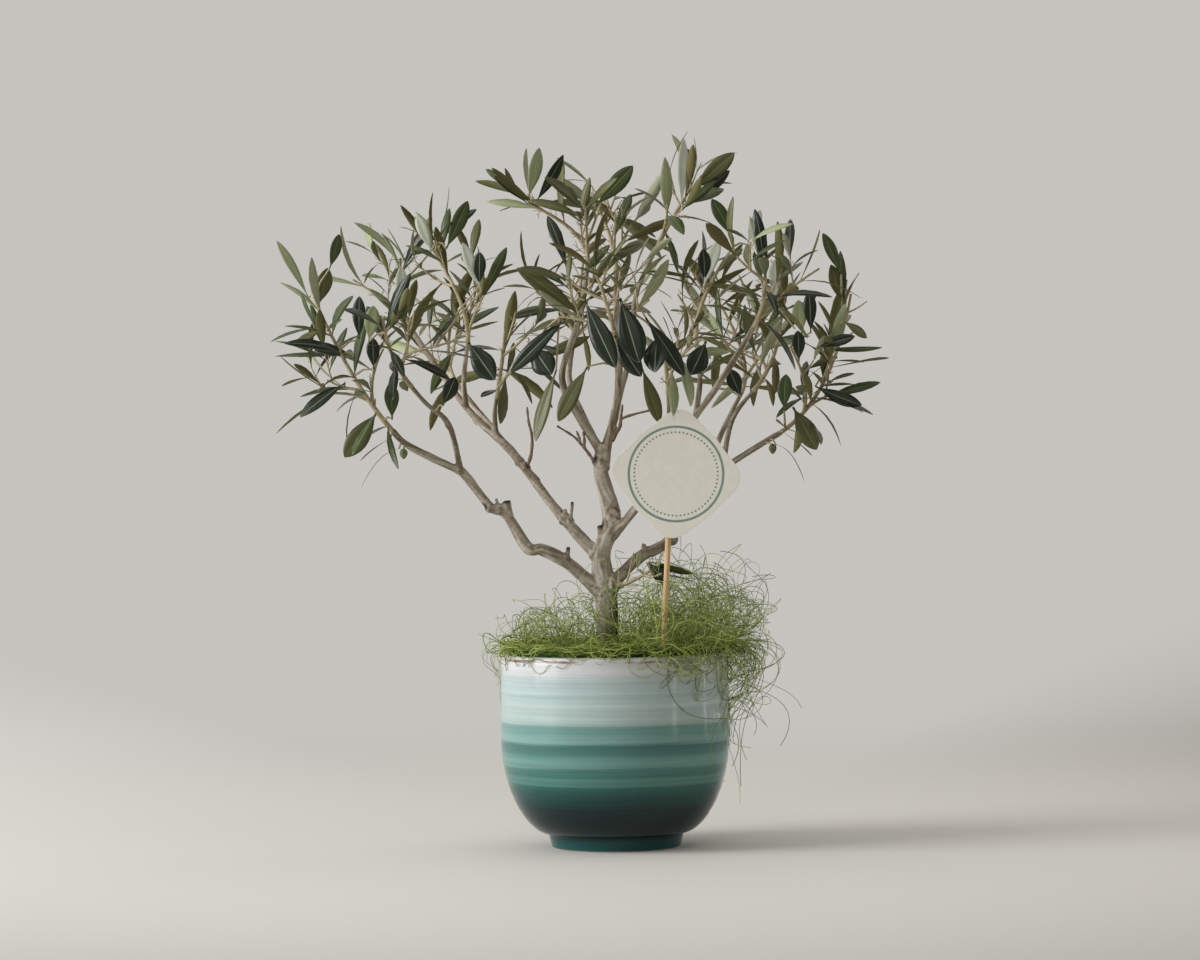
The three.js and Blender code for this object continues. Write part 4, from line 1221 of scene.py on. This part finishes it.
right_cloud = kept_in((30, 0, 112), (43, 52, 36), 0.85)
left_cloud = kept_in((-23, 0, 106), (30, 46, 25), 0.95)
back_cloud = kept_in((0, 22, 108), (56, 34, 26), 0.8)
front_cloud = kept_in((-4, -26, 105), (50, 30, 8), 0.9)
wool_tints = {
    "wool_green": ink(128, 144, 60),
    "wool_light": ink(172, 182, 98),
    "wool_shade": ink(94, 108, 48),
}
wool_curves = {name: rod_curve(name, 0) for name in wool_tints}
draw = chance(41)


def lay_threads(count, angles, radii, length, curl, steer, rise, thickness=thread_radius):
    """Threads that start between two angles and two radii. Those with no rise are laid any way."""
    low_angle, high_angle = angles
    for _ in range(count):
        angle = low_angle + (high_angle - low_angle) * draw()
        radius = radii[0] + (radii[1] - radii[0]) * math.sqrt(draw())
        start = (radius * math.cos(angle), radius * math.sin(angle), mat_top + 1.5 * draw())
        aim = angle + 2.6 * (draw() - 0.5) if rise > 0 else math.tau * draw()
        heading = (math.cos(aim), math.sin(aim), rise * (0.3 + draw()))
        points = strand(start, heading, length * (0.6 + 0.7 * draw()), curl * (0.4 + 1.2 * draw()), steer)
        pick = draw()
        name = "wool_green" if pick < 0.5 else "wool_light" if pick < 0.85 else "wool_shade"
        add_rod(wool_curves[name], points, [thickness * (0.8 + 0.4 * draw())] * len(points))


lay_threads(640, (0, math.tau), (4, 57), 42, 0.035, lying, 0, 1.7 * thread_radius)
lay_threads(560, (-1.35, 1.35), (10, 58), 76, 0.085, right_cloud, 0.8)
lay_threads(220, (1.9, 4.35), (12, 57), 46, 0.1, left_cloud, 0.6)
lay_threads(150, (1.1, 2.1), (16, 57), 50, 0.1, back_cloud, 0.6)
lay_threads(60, (4.1, 5.3), (20, 57), 34, 0.08, front_cloud, 0.2)
lay_threads(64, (-0.3, 0.7), (50, 57), 110, 0.06, hanging(63, 70), 0.3)
lay_threads(10, (2.8, 3.5), (50, 57), 44, 0.10, hanging(60, 62), 0.1)
lay_threads(30, (-0.12, 0.4), (53, 57), 84, 0.06, hanging(64, 72), 0.1)

for name, colour in wool_tints.items():
    threads = piece(f"{name}_threads", smoothed(rods(wool_curves[name])), finish(name, colour, 0.6, 0.4)[0])
    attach(threads, "root")


# Card: stiff cream paper cut round with four soft lobes, printed with a thin green ring and a ring
# of dots inside it. It leans a little to the right and is glued to the head of the stick.
card_lean = math.radians(-5)
ring_radius, ring_half = 24.2, 0.62
dots_radius, dot_radius, dot_count = 21.4, 0.52, 66
print_edge, rim_bevel = 0.1, 0.18
card_shape = bmesh.new()
bmesh.ops.create_circle(card_shape, cap_ends=True, segments=192, radius=1)
for vert in card_shape.verts:
    turn = math.atan2(vert.co.y, vert.co.x)
    r = card_waist + (card_lobe - card_waist) * (0.5 + 0.5 * math.cos(4 * turn)) ** 2
    vert.co = (r * math.cos(turn) * mm, 0, r * math.sin(turn) * mm)
leaning = Matrix.Rotation(-card_lean, 3, "Y")
bmesh.ops.rotate(card_shape, verts=card_shape.verts, cent=(0, 0, 0), matrix=leaning)
backed = bmesh.ops.extrude_face_region(card_shape, geom=card_shape.faces[:])["geom"]
moved = [item for item in backed if isinstance(item, bmesh.types.BMVert)]
bmesh.ops.translate(card_shape, verts=moved, vec=(0, card_thickness * mm, 0))
card_front = (card_centre[0] * mm, (card_centre[1] - card_thickness / 2) * mm, card_centre[2] * mm)
bmesh.ops.translate(card_shape, verts=card_shape.verts, vec=card_front)
bmesh.ops.recalc_face_normals(card_shape, faces=card_shape.faces)
rims = [edge for edge in card_shape.edges if len(edge.link_faces) == 2 and edge.calc_face_angle() > 1]
softened = dict(offset=rim_bevel * mm, affect="EDGES", segments=2, profile=0.5, material=-1)
bmesh.ops.bevel(card_shape, geom=rims, **softened)

paper, tree, shader = finish("card_paper", ink(229, 225, 213), 0.7, 0.3)
to_centre = (-card_centre[0] * mm, 0, -card_centre[2] * mm)
centred = node(tree, "Mapping", Vector=place_on(tree), Location=to_centre).outputs["Vector"]
x, y, z = node(tree, "SeparateXYZ", Vector=centred).outputs
radius = vectors(tree, "LENGTH", "Value", i0=node(tree, "CombineXYZ", X=x, Z=z).outputs["Vector"])
off_ring = maths(tree, "ABSOLUTE", maths(tree, "SUBTRACT", radius, ring_radius * mm))
ring = ranged(tree, off_ring, (ring_half + print_edge) * mm, (ring_half - print_edge) * mm)
beat = maths(tree, "MULTIPLY", maths(tree, "ARCTAN2", z, x), dot_count / math.tau)
beat = maths(tree, "SUBTRACT", maths(tree, "FRACT", beat), 0.5)
beside = maths(tree, "MULTIPLY", beat, dots_radius * mm * math.tau / dot_count)
inward = maths(tree, "SUBTRACT", radius, dots_radius * mm)
off_dot = vectors(tree, "LENGTH", "Value", i0=node(tree, "CombineXYZ", X=beside, Y=inward).outputs["Vector"])
dots = ranged(tree, off_dot, (dot_radius + print_edge) * mm, (dot_radius - print_edge) * mm)
faint = grained(tree, shader, 260.0, 0.0001, (0.3, 226, 222, 209), (0.7, 233, 229, 218))
stock = shader.inputs["Base Color"].links[0].from_socket
amount = maths(tree, "MULTIPLY", maths(tree, "MAXIMUM", ring, dots), ranged(tree, faint, 0.2, 0.8, 0.8, 1.0))
amount = maths(tree, "MULTIPLY", amount, maths(tree, "LESS_THAN", y, card_centre[1] * mm))
wire(shader, Base_Color=mixed(tree, amount, stock, ink(106, 134, 121)))
card = piece("card_on_stick", from_bmesh("card_on_stick", card_shape, smooth=False), paper)
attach(card, "root")
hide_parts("card")


# Stick: a bamboo skewer pushed through the wood wool into the soil, straight grained, with the
# card glued over its head.
stick_radius, stick_taper, stick_swell, stick_bow = 1.5, 0.05, 0.025, 0.25
behind = card_centre[1] + card_thickness / 2 + clearance + stick_radius
foot = Vector((24.4, behind + 4, soil_top + clearance))
head = Vector((30.4, behind, card_centre[2] + 6))
stick_long = (head - foot).length
stick_size = dict(radius1=stick_radius * mm, radius2=stick_radius * mm, depth=stick_long * mm)
stick_shape = bmesh.new()
bmesh.ops.create_cone(stick_shape, cap_ends=True, segments=20, **stick_size)
bmesh.ops.translate(stick_shape, verts=stick_shape.verts, vec=(0, 0, stick_long / 2 * mm))
lengthwise = [edge for edge in stick_shape.edges if edge.calc_length() > 10 * mm]
bmesh.ops.subdivide_edges(stick_shape, edges=lengthwise, cuts=14)
for vert in stick_shape.verts:
    share = vert.co.z / mm / stick_long
    slim = 1 - stick_taper * share + stick_swell * math.sin(23 * share)
    vert.co.x = vert.co.x * slim + stick_bow * mm * math.sin(math.pi * share)
    vert.co.y *= slim
upright = (head - foot).to_track_quat("Z", "Y").to_matrix()
bmesh.ops.rotate(stick_shape, verts=stick_shape.verts, cent=(0, 0, 0), matrix=upright)
bmesh.ops.translate(stick_shape, verts=stick_shape.verts, vec=foot * mm)
bamboo, tree, shader = finish("bamboo", ink(214, 170, 112), 0.5, 0.4)
fibres = ((0.3, 182, 144, 98), (0.55, 212, 176, 130), (0.75, 228, 200, 158))
grained(tree, shader, 1.0, 0.0001, *fibres, stretch=(2600, 2600, 60))
stick = piece("bamboo_stick", from_bmesh("bamboo_stick", stick_shape), bamboo)
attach(stick, "root")
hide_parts("card_stick")
